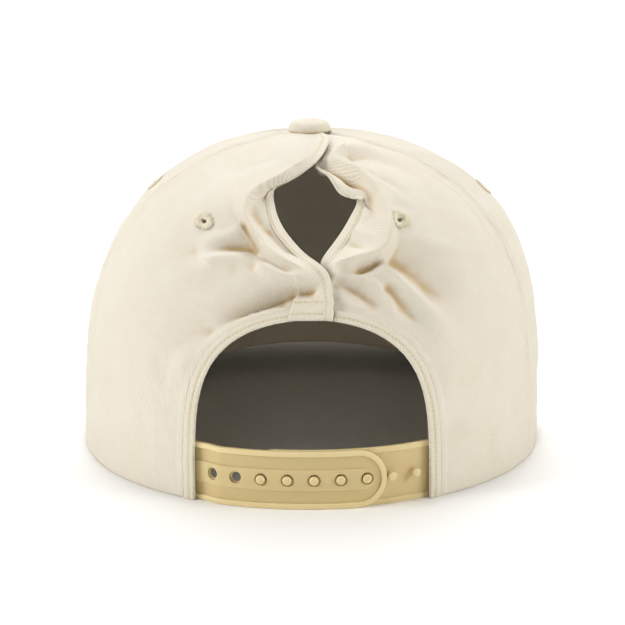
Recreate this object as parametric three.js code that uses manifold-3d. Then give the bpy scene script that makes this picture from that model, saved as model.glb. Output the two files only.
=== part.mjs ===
import Module from 'manifold-3d';
import * as THREE from 'three';
import { mergeVertices } from 'three/addons/utils/BufferGeometryUtils.js';

// A five-panel rope cap with a criss-cross ponytail opening and a moulded snap strap at the back.
// Millimetres, +Z up, the back of the cap towards -Y, the brim towards +Y, the wearer's right towards +X.

// Crown
const halfWidth = 88;
const halfDepth = 101;
const crownHeight = 119;
const tapeLength = 172;
const fullness = { back: 3.0, left: 3.13, right: 3.87, front: 4.2 };
const clothThickness = 1.5;
const touchGap = 0.3;
const brimGap = 0.6;
const topRise = 166.8;

// Where the seams run, as degrees round the crown from the centre back
const seams = { backLeft: -79, backRight: 69, frontLeft: -122, frontRight: 122 };

// Arch cut-out over the snap strap, with its bound edge
const archHalfWidth = 42;
const archRise = 72.5;
const archSquareness = 4.2;
const bandWidth = 4.3;
const bandProud = 0.35;
const bandThickness = 2.0;
const crossingEdge = 7.6;

// Sections of a back panel: steps over the facing, the roll and the field, how much closer the field's
// steps lie at the foot, how fast the foot's height fades out, how much the sections bow on their way to
// the seam, and how much neighbours even each other out.
const panelSteps = { facing: 3, roll: 2, field: 11 };
const fieldCrowding = 1.25;
const footFade = 2.5;
const fieldBow = 1.5;
const evening = 0.35;

// Beside the arch the panel is smooth: where its sections put their ridge and foot, past the binding. They
// draw in towards the crossing, so that they stay under the sections of the lip.
const archRidge = 5;
const archFoot = 11;
const archReach = { from: 0.3, length: 0.5, least: 0.15 };
const lastArchSeam = 67;
const archCrowding = 1.15;

// Distances over which the folds fade out: at the lip's edge, the side seam and the lower edge
const foldRim = { edge: 4, seam: 9, hem: 12 };

// Brim
const brimThickness = 3.2;
const brimHalfAngle = THREE.MathUtils.degToRad(72);
const brimBlendAngle = THREE.MathUtils.degToRad(34);
const brimBow = 277;
const brimSlope = 0.06;
const brimTip = { x: 83.2, y: 31 };
const brimSide = { x: 99, y: 105 };
const brimCorner = { x: 62, y: 170 };
const brimFront = 170;

// Sweatband, button, rope and eyelets
const sweatHeight = 30;
const sweatThickness = 1.3;
const strapRoom = 2.1;
const strapRoomFrom = 9;
const strapRoomLength = 14;
const buttonRadius = 7.8;
const buttonHeight = 4.3;
const buttonLift = 0.8;
const ropeDiameter = 5;
const ropeHalfAngle = THREE.MathUtils.degToRad(61);
const eyeletRadius = 3.5;
const eyeletHole = 1.2;

// Snap strap: an outer piece with holes over an inner piece with pegs
const strapHeight = 21;
const strapInset = 0.2;
const strapThickness = 1.4;
const strapPitch = 9.5;
const strapCount = 7;
const strapHoleRadius = 2.1;
const pegRadius = 1.65;
const pegHeight = 3.0;
const strapHiddenEnd = 54;
const outerStrapEnd = 27;
const innerStrapEnd = -24;
const firstHole = -36.9;
const firstPeg = -18;

// Colours, as the eye sees them
const colours = {
  cloth: '#ebe3d2',
  hem: '#e8dfcb',
  sweat: '#e4dac4',
  strap: '#cdbb85',
  rope: '#efe8d8',
};

// Lip of the ponytail opening, a row for each section from the crossing up to the button. A section runs
// from the free edge of the hem over the rolled ridge to the foot behind it, and on to the side seam.
// Across and rise are measured on the crown, out is the height over it, hem is the width of the hem band.
const lipColumns = [
  'edgeAcross', 'edgeRise', 'edgeOut', 'ridgeAcross', 'ridgeRise', 'ridgeOut',
  'footAcross', 'footRise', 'footOut', 'hem', 'seamRise',
];
const leftLip = readTable(lipColumns, [
  [7.6, 77.3, 1.2, -1.4, 79.6, -0.4, -8.0, 80.5, 0.0, 4.3, 70.0],
  [7.5, 80.6, 1.2, -1.4, 82.2, -0.5, -8.0, 81.9, 0.0, 4.3, 73.0],
  [7.0, 84.4, 1.2, -1.2, 84.6, -0.4, -8.0, 83.4, 0.0, 4.3, 76.0],
  [6.3, 88.2, 1.2, -0.2, 86.6, 0.4, -6.0, 84.9, 0.0, 4.3, 79.0],
  [5.0, 92.6, 1.0, 1.0, 88.2, 1.8, -2.5, 86.2, 0.2, 4.3, 82.0],
  [2.2, 96.5, 0.3, -0.8, 89.5, 3.2, -4.7, 87.4, 0.0, 4.3, 85.5],
  [-0.9, 100.2, -1.0, -4.6, 91.9, 4.2, -8.5, 89.3, -0.5, 4.3, 89.0],
  [-5.3, 105.8, -2.3, -9.8, 94.8, 5.0, -13.5, 91.8, -1.0, 4.3, 92.5],
  [-10.6, 113.1, -3.2, -16.0, 99.3, 5.5, -19.4, 96.2, -1.5, 4.3, 96.5],
  [-12.5, 118.1, -3.5, -20.0, 104.6, 6.0, -24.0, 102.0, -1.5, 4.3, 101.0],
  [-13.3, 123.0, -3.5, -22.1, 109.7, 6.5, -26.6, 108.2, -0.6, 4.3, 106.0],
  [-13.3, 128.8, -3.5, -22.3, 114.6, 6.5, -27.8, 114.4, 0.8, 4.3, 111.5],
  [-10.6, 133.9, -3.0, -20.2, 119.9, 6.0, -27.0, 120.8, 1.5, 4.3, 118.0],
  [-7.1, 137.1, -2.2, -15.9, 125.8, 5.0, -24.0, 128.0, 1.5, 4.3, 124.5],
  [-3.7, 139.2, -1.5, -10.8, 131.5, 3.6, -19.5, 135.5, 1.3, 3.6, 131.0],
  [-0.6, 141.0, -0.6, -6.6, 137.8, 2.4, -14.5, 142.5, 1.0, 3.0, 138.0],
  [1.9, 143.6, 0.1, -4.4, 144.6, 1.5, -11.0, 149.0, 0.8, 2.9, 145.0],
  [4.5, 150.6, 0.6, -2.0, 151.8, 0.8, -8.5, 155.0, 0.5, 3.2, 152.0],
  [6.6, 160.4, 0.5, 0.8, 160.8, 0.5, -4.8, 161.6, 0.3, 3.0, 160.0],
  [3.2, 166.8, 0.3, -0.2, 166.8, 0.3, -2.4, 166.8, 0.2, 2.4, 166.8],
]);
const rightLip = readTable(lipColumns, [
  [8.0, 77.3, 0.1, 13.0, 78.4, 0.0, 18.0, 79.2, 0.0, 0, 70.0],
  [8.0, 80.6, 0.1, 13.0, 81.2, 0.0, 18.0, 81.6, 0.0, 0, 73.0],
  [7.6, 84.6, -0.2, 12.5, 84.4, 0.0, 17.5, 84.0, 0.0, 0, 76.0],
  [6.9, 88.6, -0.8, 10.6, 87.6, -0.1, 15.0, 86.4, 0.0, 0, 79.5],
  [4.9, 92.0, -2.7, 8.4, 91.4, 0.6, 12.0, 88.6, 0.2, 1.6, 83.0],
  [3.2, 95.3, -2.8, 9.6, 94.3, 2.2, 13.4, 90.6, 0.6, 3.2, 87.0],
  [5.6, 100.7, -2.8, 14.0, 95.3, 4.0, 18.0, 91.8, 0.8, 4.3, 91.0],
  [9.0, 106.3, -3.2, 20.5, 96.3, 5.0, 24.4, 93.2, 0.3, 4.3, 95.0],
  [11.7, 112.1, -3.6, 25.6, 98.9, 6.0, 29.7, 96.4, -1.2, 4.3, 99.5],
  [14.1, 117.6, -4.0, 27.6, 103.1, 6.5, 31.0, 102.2, -1.0, 4.3, 104.0],
  [15.7, 122.3, -4.2, 27.2, 108.0, 6.5, 29.4, 107.8, -0.4, 4.3, 108.5],
  [16.9, 126.4, -4.2, 26.7, 112.8, 6.5, 28.9, 113.2, -0.2, 4.3, 113.0],
  [15.0, 127.1, -4.2, 25.6, 117.2, 6.5, 28.8, 118.4, 0.0, 4.3, 117.5],
  [13.1, 127.4, -4.0, 24.6, 120.6, 6.2, 30.2, 122.6, 0.0, 4.3, 122.0],
  [11.2, 128.8, -3.6, 22.9, 124.0, 6.0, 29.0, 126.9, 0.0, 4.3, 126.5],
  [10.0, 130.8, -3.2, 20.9, 127.9, 5.5, 27.4, 131.7, 0.0, 4.3, 131.5],
  [8.9, 134.2, -2.5, 18.1, 132.4, 4.8, 25.0, 137.0, 0.0, 4.3, 137.0],
  [7.4, 137.7, -1.8, 14.5, 137.4, 3.8, 21.5, 142.6, 0.0, 4.3, 142.6],
  [5.2, 140.3, -1.2, 11.2, 142.2, 2.8, 18.0, 148.0, 0.0, 4.0, 148.2],
  [3.6, 143.6, -1.4, 8.6, 146.8, 1.5, 14.5, 152.6, 0.0, 2.0, 153.4],
  [5.2, 150.6, -0.4, 9.4, 153.0, 0.3, 13.8, 156.6, 0.0, 0, 158.0],
  [7.6, 161.6, 0.0, 8.6, 162.0, 0.1, 9.6, 162.4, 0.0, 0, 162.8],
  [3.7, 166.8, 0.2, 4.2, 166.8, 0.1, 4.7, 166.8, 0.0, 0, 166.8],
]);

// Folds that the gathered crossing throws into the two back panels, a row for each crest or valley:
// where it starts, what it passes, where it fades out, its height over the crown and its half width.
const foldColumns = [
  'fromAcross', 'fromRise', 'viaAcross', 'viaRise', 'toAcross', 'toRise', 'height', 'halfWidth',
];
const folds = readTable(foldColumns, [
  [-28.0, 110.0, -32.0, 105.0, -43.0, 98.5, 2.0, 4.4],
  [-23.0, 100.0, -30.0, 99.5, -42.0, 94.0, -2.2, 4.4],
  [-38.0, 88.0, -29.0, 93.5, -21.0, 93.0, 2.2, 4.8],
  [-21.0, 92.5, -13.5, 88.0, 1.0, 84.0, 2.8, 4.2],
  [2.5, 79.5, -14.0, 80.0, -38.0, 65.0, -4.0, 5.4],
  [-34.0, 68.0, -48.0, 59.0, -54.5, 35.0, -1.7, 7.5],
  [-31.0, 60.5, -42.0, 56.5, -54.0, 50.0, 1.6, 5.4],
  [26.0, 92.5, 34.0, 85.0, 48.0, 66.0, 3.0, 5.0],
  [31.0, 99.0, 41.0, 89.0, 54.0, 70.0, -3.0, 5.4],
  [11.5, 88.0, 17.0, 89.0, 25.0, 92.0, 2.0, 4.0],
  [15.5, 87.0, 23.5, 82.5, 29.5, 72.5, 1.8, 4.4],
  [8.5, 84.5, 16.0, 80.5, 25.0, 72.0, -1.8, 4.2],
  [27.5, 82.5, 34.0, 74.5, 40.0, 65.0, -1.8, 4.4],
  [12.0, 153.0, 30.0, 149.5, 50.0, 131.0, 2.0, 4.8],
  [11.5, 148.6, 25.0, 146.5, 42.0, 133.0, -2.0, 4.2],
  [23.5, 139.0, 29.0, 133.0, 35.0, 124.5, -1.2, 4.2],
]);

const eyeletColumns = ['name', 'angle', 'across', 'rise'];
const eyelets = readTable(eyeletColumns, [
  ['eyelet_back_left', null, -38.4, 109.4],
  ['eyelet_back_right', null, 32.9, 111.9],
  ['eyelet_side_left', -98, null, 113],
  ['eyelet_side_right', 96, null, 113],
]);

const seamAngles = Object.fromEntries(
  Object.entries(seams).map(([name, degrees]) => [name, THREE.MathUtils.degToRad(degrees)]),
);

const manifold = await Module();
manifold.setup();

function readTable(columns, rows) {
  return rows.map((row) => Object.fromEntries(columns.map((name, i) => [name, row[i]])));
}

// Eases from 0 to 1 with level ends.
function ease(share) {
  return THREE.MathUtils.smoothstep(share, 0, 1);
}

// Half of the brim's outline, from the tip beside the crown to the middle of the front.
const brimEdge = new THREE.CubicBezierCurve(
  new THREE.Vector2(brimTip.x, brimTip.y),
  new THREE.Vector2(brimSide.x, brimSide.y),
  new THREE.Vector2(brimCorner.x, brimCorner.y),
  new THREE.Vector2(0, brimFront),
);

function brimDrop(x, y) {
  return (x * x) / (2 * brimBow) + brimSlope * (y - halfDepth);
}

// The crest is as high as makes the lowest points of the bowed brim rest on the table.
const brimCrest = brimThickness + Math.max(...brimEdge.getPoints(60).map((p) => brimDrop(p.x, p.y)));

function brimTopAt(x, y) {
  return brimCrest - brimDrop(x, y);
}

// Height of the crown's edge over the table: level at the back, over the brim at the front. Angles go
// round the crown from the centre back towards +X.
function rimLift(angle) {
  const fromFront = Math.PI - Math.abs(Math.atan2(Math.sin(angle), Math.cos(angle)));
  const overBrim = brimTopAt(halfWidth * Math.sin(angle), -halfDepth * Math.cos(angle)) + brimGap;
  return overBrim * (1 - ease((fromFront - brimHalfAngle) / brimBlendAngle));
}

function fullnessAt(angle) {
  const sideShare = Math.sin(angle) ** 2;
  const side = Math.sin(angle) > 0 ? fullness.right : fullness.left;
  const end = Math.cos(angle) > 0 ? fullness.back : fullness.front;
  return sideShare * side + (1 - sideShare) * end;
}

// Share of the rim's radius, and of the crown's height, that is left at a rise along the tape.
function ringAt(angle, rise) {
  const full = fullnessAt(angle);
  const sweep = (Math.PI / 2) * (rise / tapeLength) ** (full / 2);
  return { radius: Math.cos(sweep), height: Math.sin(sweep) ** (2 / full) };
}

function domePoint(angle, rise) {
  const ring = ringAt(angle, Math.max(rise, 0));
  const lift = rimLift(angle);
  return new THREE.Vector3(
    halfWidth * ring.radius * Math.sin(angle),
    -halfDepth * ring.radius * Math.cos(angle),
    lift + ring.height * (crownHeight - lift),
  );
}

function domeNormal(angle, rise) {
  const step = 0.4;
  const smallestRing = 0.03;
  const turn = step / (halfWidth * Math.max(ringAt(angle, rise).radius, smallestRing));
  const low = Math.max(rise - step, 0);
  const round = domePoint(angle + turn, rise).sub(domePoint(angle - turn, rise));
  const along = domePoint(angle, low + 2 * step).sub(domePoint(angle, low));
  return round.cross(along).normalize();
}

function crownPoint(angle, rise, out) {
  return domePoint(angle, rise).addScaledVector(domeNormal(angle, rise), out);
}

// Grid entry: a point over the crown, with the crown's own normal there.
function crownEntry(angle, rise, out) {
  const normal = domeNormal(angle, rise);
  return { point: domePoint(angle, rise).addScaledVector(normal, out), normal };
}

// Angle of a point on the back half that lies across millimetres beside the centre line.
function angleOf(across, rise) {
  const rounds = 8;
  let angle = 0;
  for (let i = 0; i < rounds; i += 1) {
    const reach = halfWidth * ringAt(angle, rise).radius;
    angle = Math.asin(THREE.MathUtils.clamp(across / reach, -1, 1));
  }
  return angle;
}

function backEntry(spot) {
  return crownEntry(angleOf(spot.across, spot.rise), spot.rise, spot.out);
}

function mixSpots(a, b, share, outShare = share) {
  return {
    across: THREE.MathUtils.lerp(a.across, b.across, share),
    rise: THREE.MathUtils.lerp(a.rise, b.rise, share),
    out: THREE.MathUtils.lerp(a.out, b.out, outShare),
  };
}

function spotDistance(a, b) {
  return Math.hypot(a.across - b.across, a.rise - b.rise);
}

// Height of all folds at a spot of the back panels. A fold sets in soon after its start and fades out long
// before its end.
const foldPoints = 16;
const foldStart = { share: 0.35, pace: 5 };
const foldEndPace = 2.4;
const foldLines = folds.map((fold) => ({
  ...fold,
  points: new THREE.QuadraticBezierCurve(
    new THREE.Vector2(fold.fromAcross, fold.fromRise),
    new THREE.Vector2(
      2 * fold.viaAcross - (fold.fromAcross + fold.toAcross) / 2,
      2 * fold.viaRise - (fold.fromRise + fold.toRise) / 2,
    ),
    new THREE.Vector2(fold.toAcross, fold.toRise),
  ).getPoints(foldPoints),
}));

function foldHeight(across, rise) {
  let total = 0;
  for (const fold of foldLines) {
    let nearest = Infinity;
    let place = 0;
    fold.points.forEach((point, i) => {
      const distance = Math.hypot(point.x - across, point.y - rise);
      if (distance < nearest) {
        nearest = distance;
        place = i / foldPoints;
      }
    });
    const fade = ease(place * foldStart.pace + foldStart.share) * ease((1 - place) * foldEndPace);
    total += fold.height * fade * Math.exp(-((nearest / fold.halfWidth) ** 2));
  }
  return total;
}

// Closed body from rings of points that all have the same count, joined in order. Open runs are capped.
function loftRings(rings, closed = false) {
  const size = rings[0].length;
  const positions = rings.flatMap((ring) => ring.flatMap((p) => [p.x, p.y, p.z]));
  const index = [];
  const runs = closed ? rings.length : rings.length - 1;
  for (let i = 0; i < runs; i += 1) {
    const a = i * size;
    const b = ((i + 1) % rings.length) * size;
    for (let j = 0; j < size; j += 1) {
      const k = (j + 1) % size;
      index.push(a + j, b + j, b + k, a + j, b + k, a + k);
    }
  }
  if (!closed) {
    const end = (rings.length - 1) * size;
    for (let j = 1; j < size - 1; j += 1) {
      index.push(0, j, j + 1, end, end + j + 1, end + j);
    }
  }
  return facingOut(positions, index);
}

// Closed body between an outer and an inner grid of points of the same size. Each four-sided patch is
// divided along its shorter diagonal.
function joinGrids(outer, inner) {
  const rows = outer.length;
  const columns = outer[0].length;
  const points = [...outer, ...inner].flat();
  const positions = points.flatMap((p) => [p.x, p.y, p.z]);
  const index = [];
  const outerAt = (i, j) => i * columns + j;
  const innerAt = (i, j) => (rows + i) * columns + j;
  const quad = (a, b, c, d) => {
    if (points[a].distanceTo(points[c]) <= points[b].distanceTo(points[d])) {
      index.push(a, b, c, a, c, d);
    } else {
      index.push(b, c, d, b, d, a);
    }
  };
  for (let i = 0; i < rows - 1; i += 1) {
    for (let j = 0; j < columns - 1; j += 1) {
      quad(outerAt(i, j), outerAt(i, j + 1), outerAt(i + 1, j + 1), outerAt(i + 1, j));
      quad(innerAt(i, j), innerAt(i + 1, j), innerAt(i + 1, j + 1), innerAt(i, j + 1));
    }
    quad(outerAt(i, 0), outerAt(i + 1, 0), innerAt(i + 1, 0), innerAt(i, 0));
    const last = columns - 1;
    quad(outerAt(i + 1, last), outerAt(i, last), innerAt(i, last), innerAt(i + 1, last));
  }
  for (let j = 0; j < columns - 1; j += 1) {
    quad(outerAt(0, j + 1), outerAt(0, j), innerAt(0, j), innerAt(0, j + 1));
    const last = rows - 1;
    quad(outerAt(last, j), outerAt(last, j + 1), innerAt(last, j + 1), innerAt(last, j));
  }
  return facingOut(positions, index);
}

// Turns the triangles round if they enclose a negative volume.
function facingOut(positions, index) {
  const [a, b, c] = [new THREE.Vector3(), new THREE.Vector3(), new THREE.Vector3()];
  let volume = 0;
  for (let i = 0; i < index.length; i += 3) {
    a.fromArray(positions, index[i] * 3);
    b.fromArray(positions, index[i + 1] * 3);
    c.fromArray(positions, index[i + 2] * 3);
    volume += a.dot(b.cross(c));
  }
  if (volume < 0) {
    index.reverse();
  }
  const geometry = new THREE.BufferGeometry();
  geometry.setAttribute('position', new THREE.Float32BufferAttribute(positions, 3));
  geometry.setIndex(index);
  return geometry;
}

// Cloth wall: the grid is its outer face, and the wall goes inwards along the face's own normals. The
// straight columns, where two pieces meet, use the crown's normals, so that their edges stay parallel.
// Points of the lowest row stay level where the wall stands on the table.
function clothWall(grid, options = {}) {
  const { thickness = clothThickness, proud = 0, standing = false, straight = [] } = options;
  const normals = grid.map((row, i) => row.map((entry, j) => {
    if (straight.includes(j)) {
      return entry.normal;
    }
    const before = grid[Math.max(i - 1, 0)][j].point;
    const after = grid[Math.min(i + 1, grid.length - 1)][j].point;
    const left = row[Math.max(j - 1, 0)].point;
    const right = row[Math.min(j + 1, row.length - 1)].point;
    const normal = after.clone().sub(before).cross(right.clone().sub(left)).normalize();
    return normal.dot(entry.normal) < 0 ? normal.negate() : normal;
  }));
  const offset = (distance) => grid.map((row, i) => row.map(({ point }, j) => {
    const moved = point.clone().addScaledVector(normals[i][j], distance);
    if (standing && i === 0) {
      moved.z = point.z;
    }
    return moved;
  }));
  return joinGrids(offset(proud), offset(proud - thickness));
}

const bandWall = { thickness: bandThickness, proud: bandProud, straight: [0, 1, 2] };

function archSpot(share) {
  const turn = (Math.PI / 2) * share;
  const across = archHalfWidth * Math.cos(turn);
  return { across, rise: archRise * Math.sin(turn) ** (2 / archSquareness), out: 0 };
}

// Spot beside the arch, at a distance from its edge. Share runs 0 to 2, from one foot to the other.
function besideArch(share, side, distance) {
  const fold = share <= 1 ? 1 : -1;
  const local = share <= 1 ? share : 2 - share;
  const spot = archSpot(local);
  const near = archSpot(Math.min(local + 0.01, 1));
  const far = archSpot(Math.max(local - 0.01, 0));
  const length = spotDistance(near, far);
  const away = { across: (near.rise - far.rise) / length, rise: (far.across - near.across) / length };
  return {
    across: side * fold * (spot.across + distance * away.across),
    rise: Math.max(spot.rise + distance * away.rise, 0),
    out: 0,
  };
}

// Shares at which the arch is divided: close together low down, where the share runs fast along the edge.
const archShares = [0, 0.04, 0.09, 0.15, 0.23, 0.32, 0.42, 0.54, 0.67, 0.8];
const crossingShare = 0.92;
const shortestShare = 0.03;

function archShareAt(across) {
  return Math.acos(across / archHalfWidth) / (Math.PI / 2);
}

function bindingGeometry(side) {
  const endAcross = side < 0 ? crossingEdge : -crossingEdge - touchGap;
  const endShare = endAcross > 0 ? 2 - archShareAt(endAcross) : archShareAt(-endAcross);
  const shares = [...archShares, crossingShare, 1].filter((share) => share < endShare - shortestShare);
  shares.push(endShare);
  const columns = [0, bandWidth / 2, bandWidth];
  const grid = shares.map((share) => columns.map((d) => backEntry(besideArch(share, side, d))));
  return clothWall(grid, { ...bandWall, standing: true });
}

function edgeSpot(station) {
  return { across: station.edgeAcross, rise: station.edgeRise, out: station.edgeOut };
}

function ridgeSpot(station) {
  return { across: station.ridgeAcross, rise: station.ridgeRise, out: station.ridgeOut };
}

// Spot on the facing of the lip, a distance from the free edge towards the ridge.
function facingSpot(station, distance) {
  const edge = edgeSpot(station);
  const ridge = ridgeSpot(station);
  const share = distance / spotDistance(edge, ridge);
  return mixSpots(edge, ridge, share, ease(share));
}

function hemGeometry(lip, first, last) {
  const stations = lip.slice(first, last + 1);
  const grid = stations.map((station) => [0, 0.5, 1].map((share) => (
    backEntry(facingSpot(station, share * station.hem))
  )));
  return clothWall(grid, bandWall);
}

// Half of the gap at a seam, as an angle round the crown.
function seamInset(seam, rise) {
  return touchGap / (2 * halfWidth * ringAt(seam, rise).radius);
}

// One section of a back panel: facing, roll behind the ridge, and the field as far as the side seam.
function panelSection(side, start, ridge, foot, seamRise) {
  const seam = seamAngles[side < 0 ? 'backLeft' : 'backRight'];
  const seamEnd = seam - side * seamInset(seam, seamRise);
  const footAngle = angleOf(foot.across, foot.rise);
  const spots = [];
  for (let i = 0; i < panelSteps.facing; i += 1) {
    const share = i / panelSteps.facing;
    spots.push(mixSpots(start, ridge, share, ease(share)));
  }
  for (let i = 0; i < panelSteps.roll; i += 1) {
    const share = i / panelSteps.roll;
    spots.push(mixSpots(ridge, foot, share, ease(share)));
  }
  for (const spot of spots) {
    spot.angle = angleOf(spot.across, spot.rise);
  }
  for (let i = 0; i <= panelSteps.field; i += 1) {
    const share = (i / panelSteps.field) ** fieldCrowding;
    const angle = THREE.MathUtils.lerp(footAngle, seamEnd, share);
    const rise = THREE.MathUtils.lerp(foot.rise, seamRise, share ** fieldBow);
    const across = halfWidth * ringAt(angle, rise).radius * Math.sin(angle);
    spots.push({ across, rise, angle, out: foot.out * (1 - ease(footFade * share)) });
  }
  return spots.map(({ across, rise, angle, out }) => {
    const fromStart = ease(Math.hypot(across - start.across, rise - start.rise) / foldRim.edge);
    const arc = halfWidth * ringAt(angle, rise).radius * Math.abs(angle - seamEnd);
    const quiet = fromStart * ease(arc / foldRim.seam) * ease(rise / foldRim.hem);
    return { angle, rise, out: out + quiet * foldHeight(across, rise) };
  });
}

// Evens out the heights in the field with those beside them, as cloth does.
function evenedOut(sections) {
  const firstColumn = panelSteps.facing + panelSteps.roll + 1;
  return sections.map((section, i) => section.map((spot, j) => {
    const inside = i > 0 && i < sections.length - 1 && j >= firstColumn && j < section.length - 1;
    if (!inside) {
      return spot;
    }
    const beside = [sections[i - 1][j], sections[i + 1][j], section[j - 1], section[j + 1]];
    const mean = beside.reduce((sum, other) => sum + other.out, 0) / beside.length;
    return { ...spot, out: THREE.MathUtils.lerp(spot.out, mean, evening) };
  }));
}

function archReachAt(share) {
  return THREE.MathUtils.lerp(1, archReach.least, ease((share - archReach.from) / archReach.length));
}

function backPanelGeometry(side, lip) {
  const clear = bandWidth + touchGap;
  const shares = side < 0 ? [...archShares, crossingShare] : archShares;
  const sections = shares.map((share, i) => {
    const start = besideArch(share, side, clear);
    const seamRise = lastArchSeam * (i / shares.length) ** archCrowding;
    const reach = archReachAt(share);
    const ridge = besideArch(share, side, clear + reach * archRidge);
    const foot = besideArch(share, side, clear + reach * archFoot);
    if (i === 0) {
      [start, ridge, foot].forEach((spot) => { spot.rise = 0; });
    }
    return panelSection(side, start, ridge, foot, seamRise);
  });
  for (const station of lip) {
    const start = station.hem > 0 ? facingSpot(station, station.hem + touchGap) : edgeSpot(station);
    const foot = { across: station.footAcross, rise: station.footRise, out: station.footOut };
    sections.push(panelSection(side, start, ridgeSpot(station), foot, station.seamRise));
  }
  const grid = evenedOut(sections).map((section) => (
    section.map(({ angle, rise, out }) => crownEntry(angle, rise, out))
  ));
  return clothWall(grid, { standing: true, straight: [0, grid[0].length - 1] });
}

// Panel between two seams, for the sides and the front.
function plainPanelGeometry(fromAngle, toAngle, columns) {
  const riseSteps = 12;
  const grid = [];
  for (let i = 0; i <= riseSteps; i += 1) {
    const rise = (topRise * i) / riseSteps;
    const row = [];
    for (let j = 0; j <= columns; j += 1) {
      const from = fromAngle + seamInset(fromAngle, rise);
      const to = toAngle - seamInset(toAngle, rise);
      const angle = THREE.MathUtils.lerp(from, to, j / columns);
      row.push(crownEntry(angle, rise, 0));
    }
    grid.push(row);
  }
  return clothWall(grid, { standing: true, straight: [0, columns] });
}

// The sweatband lies close to the crown, and stands off it where the strap ends are sewn in between.
function sweatbandGeometry() {
  const clearOfArch = archHalfWidth + bandWidth + 1;
  const start = Math.asin(clearOfArch / halfWidth);
  const columns = 44;
  const heights = [0, sweatHeight / 2, sweatHeight];
  const grid = heights.map((height) => {
    const row = [];
    for (let j = 0; j <= columns; j += 1) {
      const angle = THREE.MathUtils.lerp(start, 2 * Math.PI - start, j / columns);
      const arc = halfWidth * (Math.PI - Math.abs(Math.PI - angle) - start);
      const room = strapRoom * (1 - ease((arc - strapRoomFrom) / strapRoomLength));
      const entry = crownEntry(angle, height, -clothThickness - touchGap - room);
      const liftShare = ease((rimLift(angle) - 1) / (2 * brimThickness));
      entry.point.z -= liftShare * brimThickness;
      row.push(entry);
    }
    return row;
  });
  return clothWall(grid, { thickness: sweatThickness, standing: true });
}

// The brim's inner edge lies under the crown's wall.
function brimGeometry() {
  const columns = 26;
  const shares = [0, 0.12, 0.32, 0.55, 0.78, 0.94, 1];
  const layer = (bottom) => shares.map((share) => {
    const row = [];
    for (let j = 0; j <= columns; j += 1) {
      const way = (2 * j) / columns - 1;
      const angle = way * brimHalfAngle;
      const inner = new THREE.Vector2(
        (halfWidth - clothThickness) * Math.sin(angle),
        (halfDepth - clothThickness) * Math.cos(angle),
      );
      const outer = brimEdge.getPoint(1 - Math.abs(way));
      outer.x *= Math.sign(way);
      const spot = inner.lerp(outer, share);
      const drop = bottom ? brimThickness : 0;
      row.push(new THREE.Vector3(spot.x, spot.y, brimTopAt(spot.x, spot.y) - drop));
    }
    return row;
  });
  return joinGrids(layer(false), layer(true));
}

// Twisted rope laid along the front, in the corner between the crown and the brim.
function ropeGeometry() {
  const radius = ropeDiameter / 2;
  const points = [];
  const steps = 28;
  for (let i = 0; i <= steps; i += 1) {
    const way = (2 * i) / steps - 1;
    const angle = Math.PI - way * ropeHalfAngle;
    const point = crownPoint(angle, 0, radius + touchGap);
    point.z = Math.max(rimLift(angle), brimTopAt(point.x, point.y)) + radius + touchGap;
    points.push(point);
  }
  const path = new THREE.CatmullRomCurve3(points);
  const section = new THREE.Shape();
  section.absarc(0, 0, radius, 0, 2 * Math.PI);
  return new THREE.ExtrudeGeometry(section, {
    steps, curveSegments: 5, bevelEnabled: false, extrudePath: path,
  });
}

// Domed button with a plug that fills the hole where the panels meet.
function buttonGeometry() {
  const plugDepth = clothThickness + touchGap + 1;
  const plug = 5.2;
  const profile = [
    [0, -plugDepth], [plug, -plugDepth], [plug, 0], [buttonRadius - 1.2, 0], [buttonRadius - 0.2, 0.7],
    [buttonRadius, 1.5], [buttonRadius - 0.7, 2.7], [buttonRadius - 2.6, 3.7],
    [buttonRadius - 5, buttonHeight - 0.15], [0, buttonHeight],
  ];
  const geometry = new THREE.LatheGeometry(profile.map(([x, y]) => new THREE.Vector2(x, y)), 16);
  return geometry.rotateX(Math.PI / 2);
}

// Worked eyelet: a ring of thread that follows the crown.
function eyeletSpot(eyelet, ahead, up, out) {
  if (eyelet.angle === null) {
    const across = eyelet.across + ahead;
    const rise = eyelet.rise + up;
    return backEntry({ across, rise, out: out + foldHeight(across, rise) }).point;
  }
  const angle = THREE.MathUtils.degToRad(eyelet.angle);
  const radius = halfDepth * ringAt(angle, eyelet.rise).radius;
  return crownPoint(angle + ahead / radius, eyelet.rise + up, out);
}

function eyeletGeometry(eyelet) {
  const sides = 12;
  const section = [
    [eyeletHole, 0.35], [eyeletHole, 0.8], [(eyeletHole + eyeletRadius) / 2, 1.15],
    [eyeletRadius - 0.2, 0.8], [eyeletRadius, 0.35],
  ];
  const rings = [];
  for (let i = 0; i < sides; i += 1) {
    const turn = (2 * Math.PI * i) / sides;
    rings.push(section.map(([radius, out]) => (
      eyeletSpot(eyelet, radius * Math.cos(turn), radius * Math.sin(turn), out)
    )));
  }
  return loftRings(rings, true);
}

function eyeletBore(eyelet) {
  const length = 8;
  const bore = new THREE.CylinderGeometry(eyeletHole, eyeletHole, length, 10);
  const centre = eyeletSpot(eyelet, 0, 0, 0);
  const axis = eyeletSpot(eyelet, 0, 0, 1).sub(centre).normalize();
  bore.applyQuaternion(new THREE.Quaternion().setFromUnitVectors(new THREE.Vector3(0, 1, 0), axis));
  return bore.translate(centre.x, centre.y, centre.z);
}

function toSolid(geometry) {
  const bare = geometry.clone();
  bare.deleteAttribute('normal');
  bare.deleteAttribute('uv');
  const merged = mergeVertices(bare, 1e-4);
  return new manifold.Manifold(new manifold.Mesh({
    numProp: 3,
    vertProperties: Float32Array.from(merged.attributes.position.array),
    triVerts: Uint32Array.from(merged.index.array),
  }));
}

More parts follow.
